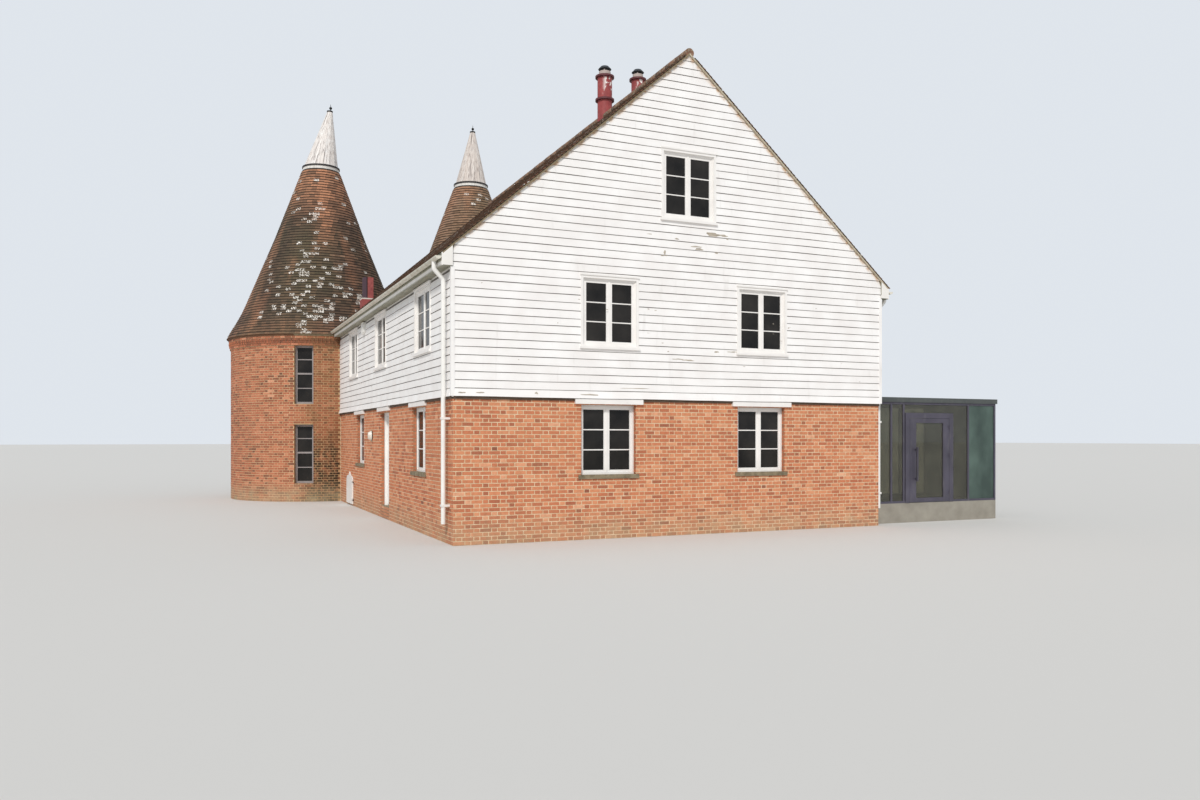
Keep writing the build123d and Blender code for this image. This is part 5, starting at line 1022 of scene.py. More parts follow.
EAVES_REACH, RIDGE_COVER = 0.045, 0.090
for index, hand in enumerate((-1, 1)):
    rng = np.random.default_rng(100 + index)
    slope_length = ROOF_FOOT / math.cos(ROOF_PITCH)
    start = roof_low.y - VERGE_REACH
    length = roof_high.y - roof_low.y + 2 * VERGE_REACH
    rows = np.arange(int((slope_length + EAVES_REACH - RIDGE_COVER) / TILE_GAUGE))
    across = int(length / TILE_WIDTH)
    width = length / across
    row, column = (grid.ravel() for grid in np.meshgrid(rows, np.arange(across + 1), indexing="ij"))
    s0 = start + (column - 0.5 * (row % 2)) * width
    s1 = np.minimum(s0 + width - TILE_GAP, start + length)
    s0 = np.maximum(s0, start)
    t0 = -EAVES_REACH + row * TILE_GAUGE
    keep = s1 - s0 > SMALLEST_TILE
    rings = tile_rings(s0[keep], s1[keep], t0[keep], t0[keep] + TILE_SHOWN, barn_surface(hand), rng)
    middles = rings.mean((1, 2))
    free = clear_of_stacks(middles) & clear_of_kilns(middles)
    name = "left" if hand < 0 else "right"
    hearts = scattered_hearts(middles[free], ROOF_HEARTS, rng)
    add_strips(f"{name}_roof_tiles", rings[free], BARN_TILE, slot="roof_tile", rise=TAIL_TO_HEAD,
               tone=each(rng.beta(3.0, 3.2, free.sum())), red=each(rng.beta(1.2, 5.0, free.sum())),
               lichen=lichen_share(middles[free], hearts, rng))

# %% [markdown]
# A cone's courses get shorter towards the top. The same tiles squeezed together would become needles, so
# each course has as many tiles as fit round it. Arrays with the course number and the number within the
# course are made by repeating, and the tiles then follow the bell-cast outline: steep above and kicked out
# over the wall.

# %% Tiles of the two cones
outline = np.array(CONE_OUTLINE)
steps = np.hypot(*np.diff(outline, axis=0).T)
OUTLINE_LENGTH = np.concatenate([[0.0], np.cumsum(steps)])
NEAR_BY = 0.02
EAVES_OUT, EAVES_DOWN = 0.75, 0.66


def cone_surface(centre):
    """Point at the bearing s, with t measured up the outline and lift along the outline's outward normal.
    Below its foot the outline goes on outwards and down."""
    def surface(s, t, lift):
        s, t, lift = np.broadcast_arrays(s, t, lift)
        before, here, after = ([np.interp(t + step, OUTLINE_LENGTH, line) for line in outline.T]
                               for step in (-NEAR_BY, 0.0, NEAR_BY))
        ahead, rise = after[0] - before[0], after[1] - before[1]
        slant = np.maximum(np.hypot(ahead, rise), 1e-6)
        reach = here[0] - np.minimum(t, 0.0) * EAVES_OUT + lift * rise / slant
        height = here[1] + np.minimum(t, 0.0) * EAVES_DOWN - lift * ahead / slant
        return np.stack([centre[0] + reach * np.cos(s), centre[1] + reach * np.sin(s), height], -1)
    return surface


CONE_EAVES_REACH, KERB_COVER = 0.030, 0.050
FEWEST_TILES = 12
RIGHT_CONE_PALER, WEATHER_SIDE_DARKER = 0.55, 0.30
# Where lichen gathers on a cone: bearing in degrees, height and reach in metres.
LICHEN_PLACES = np.array([
    (251, 7.8, 0.35), (243, 7.2, 0.40), (272, 7.3, 0.45), (262, 5.8, 0.45),
    (242, 6.1, 0.40), (284, 6.6, 0.45), (256, 9.2, 0.20), (256, 6.8, 0.30),
    (270, 6.0, 0.35), (60, 7.0, 0.45), (120, 6.2, 0.50), (350, 6.4, 0.45),
])


def bearings(middles, hand):
    """Bearing in degrees of points round a kiln's axis, from 0 to 360 anticlockwise from +X."""
    centre = ROUNDEL_CENTRES[hand]
    return np.degrees(np.arctan2(middles[:, 1] - centre[1], middles[:, 0] - centre[0])) % 360


def cone_redness(middles, hand, rng):
    """Redness of a cone's tiles. The left cone is red at its top, down a streak that the wind keeps dry,
    along its open edge and over its eaves; the right one has red tiles here and there."""
    lot = rng.uniform(0.4, 1.5, len(middles))
    if hand == "right":
        return each(0.12 * lot)
    bearing = bearings(middles, hand)
    z = middles[:, 2]
    top = 0.56 * eased(8.8, 10.4, z)
    streak = 0.75 * np.exp(-((bearing - 268) / 10) ** 2) * eased(7.6, 9.3, z)
    edge = 0.08 * eased(232, 205, bearing) * eased(8.8, 7.0, z) * (bearing > 150)
    foot = 0.14 * eased(5.8, 5.4, z)
    return each(np.clip((top + streak + edge + foot) * lot, 0, 0.9))


for index, hand in enumerate(ROUNDEL_CENTRES):
    rng = np.random.default_rng(110 + index)
    tops = np.arange(-CONE_EAVES_REACH, OUTLINE_LENGTH[-1] - KERB_COVER, TILE_GAUGE)
    radii = np.interp(tops, OUTLINE_LENGTH, outline[:, 0])
    counts = np.maximum(np.round(2 * math.pi * radii / TILE_WIDTH).astype(int), FEWEST_TILES)
    row = np.repeat(np.arange(len(tops)), counts)
    column = np.arange(counts.sum()) - np.repeat(np.cumsum(counts) - counts, counts)
    width = 2 * math.pi / counts[row]
    s0 = (column + 0.5 * (row % 2)) * width
    s1 = s0 + width * (1 - TILE_GAP / TILE_WIDTH)
    t0 = tops[row]
    t1 = np.minimum(t0 + TILE_SHOWN, OUTLINE_LENGTH[-1])
    rings = tile_rings(s0, s1, t0, t1, cone_surface(ROUNDEL_CENTRES[hand]), rng)
    middles = rings.mean((1, 2))
    free = in_the_open(middles, hand, -0.02)
    bearing, height, reach = LICHEN_PLACES.T
    radius = np.interp(height, outline[:, 1], outline[:, 0])
    centre = ROUNDEL_CENTRES[hand]
    around = np.radians(bearing)
    hearts = np.stack([centre[0] + radius * np.cos(around), centre[1] + radius * np.sin(around),
                       height, reach], -1)
    windward = eased(236, 214, bearings(middles[free], hand)) * (hand == "left")
    tones = rng.beta(3.0, 3.0, free.sum())
    tones = tones + (hand == "right") * RIGHT_CONE_PALER - windward * WEATHER_SIDE_DARKER
    add_strips(f"{hand}_cone_tiles", rings[free], KILN_TILE, slot="kiln_tile", rise=TAIL_TO_HEAD,
               tone=each(tones), red=cone_redness(middles[free], hand, rng),
               lichen=lichen_share(middles[free], hearts, rng))

# %% [markdown]
# The ridge is closed by half-round tiles 450 mm long, bedded end to end in mortar. One long half pipe would
# have no joints, so each tile is a thick half ring of its own, carried a short way along the ridge: outer
# arc, then inner arc back, so the end is a ladder of quads.

# %% Ridge tiles
RIDGE_TILE = 0.450
RIDGE_RADIUS = 0.098
RIDGE_THICK = 0.014
RIDGE_GAP = 0.003
RIDGE_CUT = 0.040
ARC_STEPS = 11
# Ridge clay is a little redder than the roof and greyed with moss in 45 mm spots.
RIDGE_CLAY = plain_finish("half_round_ridge_clay", 0.85, (
    7.0, [(0.3, "#6b5040"), (0.55, "#84604b"), (0.8, "#997059")]),
    ("#a9a792", 22.0, [(0.50, 0.0), (0.68, 0.85)]), peak=0.002)

rng = np.random.default_rng(120)
count = round((roof_high.y - roof_low.y) / RIDGE_TILE)
pitch = (roof_high.y - roof_low.y) / count
y0 = roof_low.y + np.arange(count) * pitch
arc = np.radians(np.linspace(-32, 212, ARC_STEPS))
radius = RIDGE_RADIUS + rng.normal(0, 0.002, (count, 1, 1))
section = np.concatenate([np.ones(ARC_STEPS), np.full(ARC_STEPS, 1 - RIDGE_THICK / RIDGE_RADIUS)])
bearing = np.concatenate([arc, arc[::-1]])
x = radius * section * np.cos(bearing) + np.zeros((count, 2, 1))
z = APEX + radius * section * np.sin(bearing) + np.zeros((count, 2, 1))
y = np.stack([y0 + RIDGE_GAP, y0 + pitch - RIDGE_GAP], 1)[:, :, None] + np.zeros_like(x)
rings = np.stack([x, y, z], -1)
flue_x, flue_y, flue_radius = FLUES[0]
rings = rings[np.abs(rings[..., 1].mean((1, 2)) - flue_y) > flue_radius + RIDGE_CUT]
add_strips("ridge_course", rings, RIDGE_CLAY, slot="ridge_tile", smooth=True)

# %% [markdown]
# The cowls turn with the wind on their spindles. Each is a ring of sixteen flats, and every flat is closed
# with two tapering boards. Cutting them from a cone with booleans would leave slivers. Instead they are
# carried up the leaning cone at the cowl's own section, 3 mm apart, and ride with its body. The boards over
# the opening are short and start near the head.

# %% Boards of the cowls
COWL_FOOT = 11.080
COWL_HEIGHT = 2.030
COWL_FOOT_RADIUS = 0.550
COWL_TIP_RADIUS = 0.085
COWL_LEAN = 0.460
COWL_FLATS = 16
COWL_BEARINGS = {"left": math.radians(44), "right": math.radians(66)}
COWL_OPENING_TOP = 0.72
COWL_BED, COWL_PROUD = 0.002, 0.006
COWL_GAP = 0.012

# Paint on the cowls has stood in the wind for years: cream white, matt, and thinned along the grain, so that
# grey wood shows in upright cracks and the soot of the kilns has run down it in dark lines.
COWL_PAINT, tree, shader, place = start_material("wind_worn_cowl_paint", 0.75)
upwards = add_node(tree, *TIMES, i0=add_node(tree, *ALONG), i1=0.05)
grain = add_node(tree, "ShaderNodeCombineXYZ", X=add_node(tree, *ACROSS), Y=upwards, Z=0.0)
base = mottled(tree, place, 5.0, [(0.3, "#f3ece6"), (0.7, "#fdfaf6")], 3.0)
base = add_node(tree, *MIX, i0=add_node(tree, *TONE), i6=base, i7="#ab937f")
cracks = mottled(tree, grain, 70.0, [(0.54, 0.0), (0.64, 0.90)], 4.0)
colour = add_node(tree, *MIX, i0=cracks, i6=base, i7="#7a6a66")
runs = mottled(tree, grain, 13.0, [(0.58, 0.0), (0.66, 0.85)], 4.0)
colour = add_node(tree, *MIX, i0=runs, i6=colour, i7="#5c4d4c")
lay_on(tree, shader, colour, cracks, 0.002, 0.6)


def cowl_boards(hand):
    """Boards on the flats: the point a share u of the way from corner to corner of a flat, at a share t of
    the height, on a circle whose middle leans and whose radius falls evenly with t; and its place there."""
    flat = np.repeat(np.arange(COWL_FLATS), 2)
    second = np.tile([0.0, 0.5], COWL_FLATS)
    opened = (flat < 2) | (flat >= COWL_FLATS - 2)
    foot = np.where(opened, COWL_OPENING_TOP, 0.0)[:, None]
    t = foot + np.linspace(0, 1, 5) * (1 - foot) * 0.999
    u = second[:, None] + np.array([COWL_GAP, 0.5 - COWL_GAP, 0.5 - COWL_GAP, COWL_GAP])
    turn = 2 * math.pi / COWL_FLATS
    facing = COWL_BEARINGS[hand]
    radius = (COWL_FOOT_RADIUS + (COWL_TIP_RADIUS - COWL_FOOT_RADIUS) * t)[:, :, None]
    lean = (COWL_LEAN * t)[:, :, None]
    first, last = (facing + (flat + end) * turn for end in (0, 1))
    lift = np.array([-COWL_BED, -COWL_BED, COWL_PROUD, COWL_PROUD])
    middle = facing + (flat + 0.5) * turn
    x, y = (centre + lean * way(facing) + lift * way(each(middle))
            + radius * ((1 - u[:, None]) * way(each(first)) + u[:, None] * way(each(last)))
            for centre, way in zip(ROUNDEL_CENTRES[hand], (np.cos, np.sin)))
    z = COWL_FOOT + COWL_HEIGHT * t[:, :, None] + np.zeros_like(x)
    across = each(flat) * 0.37 + u[:, None] * radius * 2 * math.sin(turn / 2)
    return np.stack([x, y, z], -1), across, z


for hand in ROUNDEL_CENTRES:
    rings, across, along = cowl_boards(hand)
    rng = np.random.default_rng(130)
    tones = rng.uniform(0.0, 0.22, len(rings)) + (hand == "right") * 0.30
    add_strips(f"{hand}_cowl_boards", rings, COWL_PAINT, body=f"{hand}_cowl", slot="cowl_board",
               across=across, along=along, tone=each(tones))

# %% [markdown]
# Each casement light has two glazing bars that part it into three panes. They are too thin for the solids,
# and as painted lines they would throw no shade. So a bar is a small moulded strip in front of the glass: a
# box with its front edges taken off, which gives a thin bright line.

# %% Glazing bars of the casements
CASING_BORDER = 0.045
FRAME_BORDER = 0.045
MULLION = 0.040
SASH_BORDER = 0.042
BAR_HALF = 0.0115
BAR_TUCK = 0.004
FRAME_SETBACK, REVEAL_DEPTH = 0.015, 0.100
SASH_SETBACK, SASH_MIDDLE = 0.010, 0.020
CASED_PANE = BOARD_LINING + FRAME_SETBACK + SASH_SETBACK + SASH_MIDDLE
BRICK_PANE = BRICK_SETBACK + REVEAL_DEPTH + SASH_SETBACK + SASH_MIDDLE


def bar_rings(side, middle, bottom, width, height, pane):
    """Two bars in each light: six points a ring, a wide back on the glass and a narrower front."""
    light = (width - 2 * FRAME_BORDER - MULLION) / 2
    glass_half = light / 2 - SASH_BORDER + BAR_TUCK
    low = bottom + FRAME_BORDER + SASH_BORDER
    tall = height - 2 * (FRAME_BORDER + SASH_BORDER)
    rings = []
    for hand in (-1, 1):
        centre = middle + hand * (light + MULLION) / 2
        for share in (1 / 3, 2 / 3):
            z = low + tall * share + np.array([-1, -1, -0.7, 0.7, 1, 1]) * BAR_HALF
            depth = -pane + np.array([0.002, 0.014, 0.019, 0.019, 0.014, 0.002])
            s = np.array([centre - glass_half, centre + glass_half])[:, None] + np.zeros(6)
            rings.append(flat_place(side, 0.0)(s, np.stack([z, z]), np.stack([depth, depth])))
    return rings


# White gloss on joinery is the brightest thing on the wall: smooth, with a sheen, and dusty in 60 mm clouds.
WHITE_GLOSS = plain_finish("white_gloss_joinery", 0.4, (3.0, [(0.3, "#efebe7"), (0.7, "#f8f5f1")]),
                           ("#aaa294", 30.0, [(0.62, 0.0), (0.84, 0.25)]), (90.0, 3.0), 0.0008, 0.3)

bars = []
for side, middle, bottom, width, height in CASED_WINDOWS:
    bars += bar_rings(side, middle, bottom + CASING_BORDER, width - 2 * CASING_BORDER,
                      height - 2 * CASING_BORDER, CASED_PANE)
for side, middle, width in BRICK_WINDOWS:
    bars += bar_rings(side, middle, WINDOW_BOTTOM, width, WINDOW_HEIGHT, BRICK_PANE)
add_strips("glazing_bars", np.stack(bars), WHITE_GLOSS, slot="white_joinery")

# %% [markdown]
# The kiln windows are grey metal, with a heavy transom half way and a thin bar in each half. Each window is
# flat, though its wall is round. So its bars aren't bent like the bricks: they are boxes on a plane that
# touches the wall at the window's middle, in one local frame of across, outward and up.

# %% Bars of the kiln windows
TRANSOMS = ((0.27, 0.014), (0.52, 0.026), (0.76, 0.014))
KILN_REVEAL, KILN_SASH = 0.180, 0.030
KILN_PANE = KILN_REVEAL + KILN_SASH
KILN_FRAME = 0.038
STILE = 0.015
BAR_BED, BAR_FACE, STILE_FACE = 0.001, 0.022, 0.028


def powder_coat(name, stops, metallic):
    """Powder-coated aluminium: an even satin film that mirrors little, 2 mm orange-peel skin, rain dust."""
    dust = ("#8c8886", 12.0, [(0.55, 0.0), (0.85, 0.30)], 4.0, (1.0, 1.0, 0.3))
    return plain_finish(name, 0.45, (2.0, stops), dust, (420.0, 2.0), 0.0004, 0.3, Metallic=metallic)


GREY_METAL = powder_coat("grey_coated_window_metal", [(0.3, "#8f8887"), (0.7, "#9f9897")], 0.1)
LINK_METAL = powder_coat("plum_grey_coated_aluminium", [(0.3, "#4a4752"), (0.7, "#585462")], 0.25)
ROOF_METAL = powder_coat("green_grey_coated_roof_edge", [(0.3, "#464a4a"), (0.7, "#585c59")], 0.25)


def kiln_bars(bottom, top):
    """Low and high corners of one window's bars, as (across, depth, up): transoms, rails and two stiles."""
    glass = ROUNDEL_WINDOW_HALF - KILN_FRAME
    low, high = bottom + KILN_FRAME, top - KILN_FRAME
    level = [((1 - share) * bottom + share * top, half) for share, half in TRANSOMS]
    level += [(low + STILE, STILE), (high - STILE, STILE)]
    bars = [((-glass, BAR_BED, middle - half), (glass, BAR_FACE, middle + half)) for middle, half in level]
    bars += [((reach - STILE, BAR_BED, low), (reach + STILE, STILE_FACE, high))
             for reach in (STILE - glass, glass - STILE)]
    return np.array(bars)


rings = []
for hand in ROUNDEL_CENTRES:
    for middle in window_stacks(hand):
        bearing = middle / ROUNDEL_RADIUS
        outward = np.array([math.cos(bearing), math.sin(bearing), 0.0])
        across = np.array([-math.sin(bearing), math.cos(bearing), 0.0])
        pane = np.array([*ROUNDEL_CENTRES[hand], 0.0]) + outward * (ROUNDEL_RADIUS - KILN_PANE)
        corners = np.concatenate([kiln_bars(bottom, top) for bottom, top in ROUNDEL_WINDOWS])
        rings.append(blocks(corners[:, 0], corners[:, 1]) @ np.stack([across, outward, UP]) + pane)
add_strips("kiln_window_bars", np.concatenate(rings), GREY_METAL, slot="grey_metal")

# %% [markdown]
# The side door and the hatch are boarded. Grooves could be a dark pattern, but they would vanish when the
# door swings into other light. So shallow planks with a gap between them are laid over the outer face, and
# ride with the leaf.

# %% Planks on the side door and the hatch
PLANKS = 7
PLANK_GAP = 0.004
PLANK_EASED = 0.0015
PLANK_BED = 0.001


def plank_rings(side, setback, middle, half, z0, z1, thick):
    """Upright planks side by side from middle - half to middle + half, with narrow gaps and eased edges."""
    edges = np.linspace(middle - half, middle + half, PLANKS + 1)
    a, b = edges[:-1] + PLANK_GAP / 2, edges[1:] - PLANK_GAP / 2
    inset = np.array([0.0, PLANK_EASED])[None, :, None] * np.array([1, -1, -1, 1])
    s = np.stack([a, b, b, a], -1)[:, None, :] + inset
    z = np.array([z0, z0, z1, z1]) + np.zeros_like(s)
    depth = np.array([-PLANK_BED, thick])[None, :, None] + np.zeros_like(s)
    return flat_place(side, setback)(s, z, depth)


BRICK_WALL, LEAF_THICK = 0.225, 0.044
HATCH_STANDOFF, HATCH_THICK = 0.008, 0.030
door_rings = plank_rings("left", BRICK_SETBACK + BRICK_WALL - LEAF_THICK, SIDE_DOORWAY[1], 0.470,
                         FLOOR_TOP + 0.030, FLOOR_TOP + 2.190, 0.005)
add_strips("side_door_planks", door_rings, WHITE_GLOSS, body="side_door", slot="white_joinery")
hatch_rings = plank_rings("left", BRICK_SETBACK - HATCH_STANDOFF - HATCH_THICK, HATCHWAY[1], 0.515,
                          0.056, 0.735, 0.003)
add_strips("hatch_planks", hatch_rings, WHITE_GLOSS, body="hatch", slot="white_joinery")

# %% [markdown]
# Gutters, eaves boards and pipes are solids already, and only need their paint. One white could serve for
# all, but under the eaves algae and painted shade tell them apart. Algae follows the water along the gutter.
# The undersides of the eaves boards, their lower edges and a strip right below the gutter are painted
# green grey, partly as algae and partly as painted shade. So those finishes read the height and the way they
# face.

# %% Gutters, eaves boards and pipes
# Old white gutters are buff with algae that follows the water along them.
GUTTER_PLASTIC = plain_finish("algae_stained_gutter_plastic", 0.5, (
    2.5, [(0.3, "#cfcab9"), (0.7, "#e6e2d7")], 4.0, (1.0, 0.25, 1.0)),
    ("#a5a189", 6.0, [(0.45, 0.0), (0.75, 0.55)]), peak=0.0005, strength=0.3)

# Newer plastic pipe is clean, bright and slightly glossy.
PIPE_PLASTIC = plain_finish("white_pipe_plastic", 0.42, (4.0, [(0.3, "#ebe9e4"), (0.7, "#f4f2ee")]),
                            peak=0.0004, strength=0.2)

# Eaves boards are white like the joinery, but their undersides, their lower edges and the strip right under
# the gutter are painted green grey: partly algae where they never dry, partly painted shade.
GUTTER_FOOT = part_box("gutters")[0].z
FASCIA_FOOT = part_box("eaves_boxes")[0].z
EAVES_PAINT, tree, shader, place = start_material("eaves_paint_algae_and_painted_shade", 0.55)
base = mottled(tree, place, 2.5, [(0.3, "#e9e5df"), (0.7, "#f6f3ee")])
normal = add_node(tree, "ShaderNodeNewGeometry", "Normal")
facing = add_node(tree, "ShaderNodeSeparateXYZ", Vector=normal).node
# Painted shade, partly algae: faces turned downwards go green grey.
algae_and_shade = add_node(tree, *EASED, Value=facing.outputs[2], i1=-0.3, i2=-0.8, i3=0.0, i4=0.85)
height = add_node(tree, "ShaderNodeSeparateXYZ", 2, Vector=place)
# Painted shade, partly algae: the foot of the fascia and a strip under the gutter, on faces turned outwards.
foot = add_node(tree, *EASED, Value=height, i1=FASCIA_FOOT + 0.035, i2=FASCIA_FOOT + 0.005, i3=0.0, i4=0.65)
painted_shade = add_node(tree, *EASED, Value=height, i1=GUTTER_FOOT - 0.040, i2=GUTTER_FOOT - 0.015, i3=0.0, i4=0.85)
shade_bands = add_node(tree, *LARGER, i0=foot, i1=painted_shade)
outward = add_node(tree, "ShaderNodeMath", 0, {"operation": "ABSOLUTE"}, i0=facing.outputs[0])
algae_and_shade = add_node(tree, *LARGER, i0=algae_and_shade, i1=add_node(tree, *TIMES, i0=shade_bands, i1=outward))
algae_and_shade_colour = mottled(tree, place, 5.0, [(0.3, "#6f6f55"), (0.7, "#908d74")])
lay_on(tree, shader, add_node(tree, *MIX, i0=algae_and_shade, i6=base, i7=algae_and_shade_colour), base, 0.0005, 0.3)
print("gutter foot", GUTTER_FOOT, "fascia foot", FASCIA_FOOT)

# %% [markdown]
# Stone is gritty and matt, and glass is nearly the opposite. Clear glass could be used everywhere, but by day
# a room behind a small casement looks nearly black from outside. So that glass is dark itself. The link's
# glass is clear, because one really sees through it.

# %% Stone, glass and concrete
# Sandstone sills are olive brown with age, gritty and fully matt.
SANDSTONE = plain_finish("weathered_sandstone_sill", 0.9, (
    8.0, [(0.25, "#655a46"), (0.55, "#8f8168"), (0.8, "#aa9c82")]),
    ("#57513f", 180.0, [(0.4, 0.0), (0.7, 0.4)], 2.0), peak=0.002, strength=0.6)

# Behind a window is a dark room, so its glass is nearly black and keeps only a weak shine.
WINDOW_GLASS = plain_finish("room_dark_window_glass", 0.06, (1.7, [(0.3, "#111010"), (0.7, "#2f2c29")]),
                            peak=0.0002, strength=0.1, Specular_IOR_Level=0.22)

# The link's glass is clear and thin, a little green, and lets the far side show through.
LINK_GLASS = plain_finish("clear_toughened_glass", 0.02, (3.0, [(0.3, "#868576"), (0.7, "#a09e8c")]),
                          peak=0.0002, strength=0.1, IOR=1.45, Transmission_Weight=0.85)

# Obscured glass scatters what is behind it into one soft blue green with a fine ripple.
OBSCURED_GLASS = plain_finish("obscured_blue_green_glass", 0.35, (
    1.6, [(0.35, "#3c5049"), (0.65, "#62796f")], 3.0, (1.0, 1.0, 0.6)),
    skin=(60.0, 2.0), Transmission_Weight=0.3)

# Sealed concrete is plain grey with faint clouds.
CONCRETE = plain_finish("sealed_concrete_floor", 0.7, (3.0, [(0.3, "#8d877c"), (0.7, "#a29c90")]),
                        strength=0.3)
print("stone and glass", SANDSTONE.name, WINDOW_GLASS.name, LINK_GLASS.name, OBSCURED_GLASS.name)

# %% [markdown]
# Small things give the scale away, so each gets its own stuff: iron on the hatch and the spindles, lead in
# the valley, the wood inside the cowls, the kerb under them and the lamp by the door. Where one solid has
# two colours, as kerb and lamp have, it could be cut in two. A step in the material, at a height or a
# depth, does the same and keeps the solid whole.

# %% Iron, lead, wood, kerb and lamp
# Iron painted black hardly shines, except along edges where the coat is worn.
BLACK_IRON = plain_finish("black_painted_iron", 0.5, (25.0, [(0.3, "#141414"), (0.7, "#2b2927")]),
                          peak=0.0008, Metallic=0.6)

# Lead is dull grey and slightly puckered by heat and cold.
LEAD = plain_finish("rolled_lead_sheet", 0.6, (6.0, [(0.3, "#70757a"), (0.7, "#8f9397")]),
                    peak=0.002, Metallic=0.4)

# The wood inside a cowl never was painted, and has gone grey brown.
AGED_WOOD = plain_finish("unpainted_cowl_wood", 0.9, (
    1.0, [(0.3, "#5b5049"), (0.7, "#7d7068")], 4.0, (30.0, 30.0, 2.0)), peak=0.002)

# The bulkhead lamp has a cream dome in a dark bezel.
BEZEL_FACE = -4.895
LAMP_PLASTIC, tree, shader, place = start_material("opal_lamp_plastic", 0.3)
base = mottled(tree, place, 20.0, [(0.3, "#ded9cb"), (0.7, "#ece8dd")])
back = add_node(tree, *ABOVE, i0=add_node(tree, "ShaderNodeSeparateXYZ", 0, Vector=place), i1=BEZEL_FACE)
lay_on(tree, shader, add_node(tree, *MIX, i0=back, i6=base, i7="#4b4642"))

# The kerb under a cowl is a white band with rain dirt, and its upper ring is black.
RING_FOOT, RING_CLEAR = 11.020, 0.002
KERB_PAINT, tree, shader, place = start_material("white_kerb_paint", 0.6)
base = mottled(tree, place, 8.0, [(0.3, "#e2ddd4"), (0.6, "#f1eee8")])
dirt = mottled(tree, place, 20.0, [(0.5, 0.0), (0.8, 0.5)], 4.0, (1.0, 1.0, 0.3))
base = add_node(tree, *MIX, i0=dirt, i6=base, i7="#8d8577")
height = add_node(tree, "ShaderNodeSeparateXYZ", 2, Vector=place)
ring = add_node(tree, *ABOVE, i0=height, i1=RING_FOOT - RING_CLEAR)
lay_on(tree, shader, add_node(tree, *MIX, i0=ring, i6=base, i7="#262020"), dirt, 0.001, 0.4)
print("small finishes", BLACK_IRON.name, LEAD.name, AGED_WOOD.name, LAMP_PLASTIC.name, KERB_PAINT.name)

# %% [markdown]
# The flues are pots painted red, with cream necks under dark caps. Between the collars, on the right side
# and high up, near-white flecks are painted: partly paint that sun and heat have lifted, partly painted
# highlight on that side; lower down the paint is whole. The bands could be separate solids, but a pot is one
# casting, so steps in height paint them. Both flues share one finish: the rear one, which is lower, is
# brought to the front one's height and place first. The small chimney is painted by the same kind of steps.

# %% Flues, chimney and oak floors
REAR_FLUE_RISE = 0.430
FRONT_FLUE, REAR_FLUE = FLUES
NECK_FOOT, CAP_FOOT, COLLAR_FOOT, LOW_COLLAR = 10.750, 10.900, 10.705, 10.145
COLLAR_HEIGHT = 0.046
STEP_CLEAR = 0.001
FLUE_PAINT, tree, shader, place = start_material("red_painted_flue_pot", 0.65)
apart = add_node(tree, "ShaderNodeSeparateXYZ", Vector=place).node
rear = add_node(tree, *ABOVE, i0=apart.outputs[1], i1=(FRONT_FLUE[1] + REAR_FLUE[1]) / 2)
level = add_node(tree, *RAISED, i0=rear, i1=-REAR_FLUE_RISE, i2=apart.outputs[2])
beside = add_node(tree, *RAISED, i0=rear, i1=FRONT_FLUE[0] - REAR_FLUE[0], i2=apart.outputs[0])
base = mottled(tree, place, 9.0, [(0.3, "#933c3c"), (0.7, "#ae504e")])
colour = weathered(tree, place, base, ("#6b3432", 6.0, [(0.45, 0.0), (0.75, 0.5)], 4.0, (1.0, 1.0, 0.3)))
# Near-white flecks on the right side, high up: peeled paint and painted highlight.
peel_and_highlight = mottled(tree, place, 11.0, [(0.515, 0.0), (0.53, 1.0)], 4.0, (1.0, 1.0, 0.7))
peel_and_highlight_side = add_node(tree, *EASED, Value=beside, i1=-0.12, i2=0.0, i3=0.0, i4=1.0)
high = add_node(tree, *EASED, Value=level, i1=LOW_COLLAR - 0.02, i2=LOW_COLLAR + 0.06, i3=0.0, i4=1.0)
peel_and_highlight = add_node(tree, *TIMES, i0=peel_and_highlight, i1=add_node(tree, *TIMES, i0=peel_and_highlight_side, i1=high))
colour = add_node(tree, *MIX, i0=peel_and_highlight, i6=colour, i7="#fbf4ee")
for low in (COLLAR_FOOT, LOW_COLLAR):
    over = add_node(tree, *ABOVE, i0=level, i1=low - STEP_CLEAR)
    below = add_node(tree, *ABOVE, i0=low + COLLAR_HEIGHT, i1=level)
    colour = add_node(tree, *MIX, i0=add_node(tree, *TIMES, i0=over, i1=below), i6=colour, i7="#5f2c30")
for low, paint in ((NECK_FOOT + STEP_CLEAR, "#b9aaa2"), (CAP_FOOT, "#303539")):
    colour = add_node(tree, *MIX, i0=add_node(tree, *ABOVE, i0=level, i1=low), i6=colour, i7=paint)
lay_on(tree, shader, colour, peel_and_highlight, 0.002, 0.6)

# Above its foot the small chimney is painted shade on its left: dark mauve, and near black in the slot. To
# the right of the slot it is brick red, with mortar at its foot.
SLOT_SIDE, STACK_SIDE = -4.330, -4.362
SLOT_FOOT = 6.135
BEDDING, BEDDING_HALF = 6.118, 0.022
CHIMNEY_RED, tree, shader, place = start_material("painted_small_chimney", 0.75)
apart = add_node(tree, "ShaderNodeSeparateXYZ", Vector=place).node
base = mottled(tree, place, 12.0, [(0.3, "#8d4343"), (0.7, "#ab5a55")])
for edge, painted_shade in ((SLOT_SIDE, "#1f1718"), (STACK_SIDE, "#54404a")):
    dark = add_node(tree, *ABOVE, i0=edge, i1=apart.outputs[0])
    dark = add_node(tree, *TIMES, i0=dark, i1=add_node(tree, *ABOVE, i0=apart.outputs[2], i1=SLOT_FOOT))
    base = add_node(tree, *MIX, i0=dark, i6=base, i7=painted_shade)
beds = {"operation": "COMPARE"}
foot = add_node(tree, "ShaderNodeMath", 0, beds, i0=apart.outputs[2], i1=BEDDING, i2=BEDDING_HALF)
lay_on(tree, shader, add_node(tree, *MIX, i0=foot, i6=base, i7="#e0d6cc"), base, 0.002, 0.5)

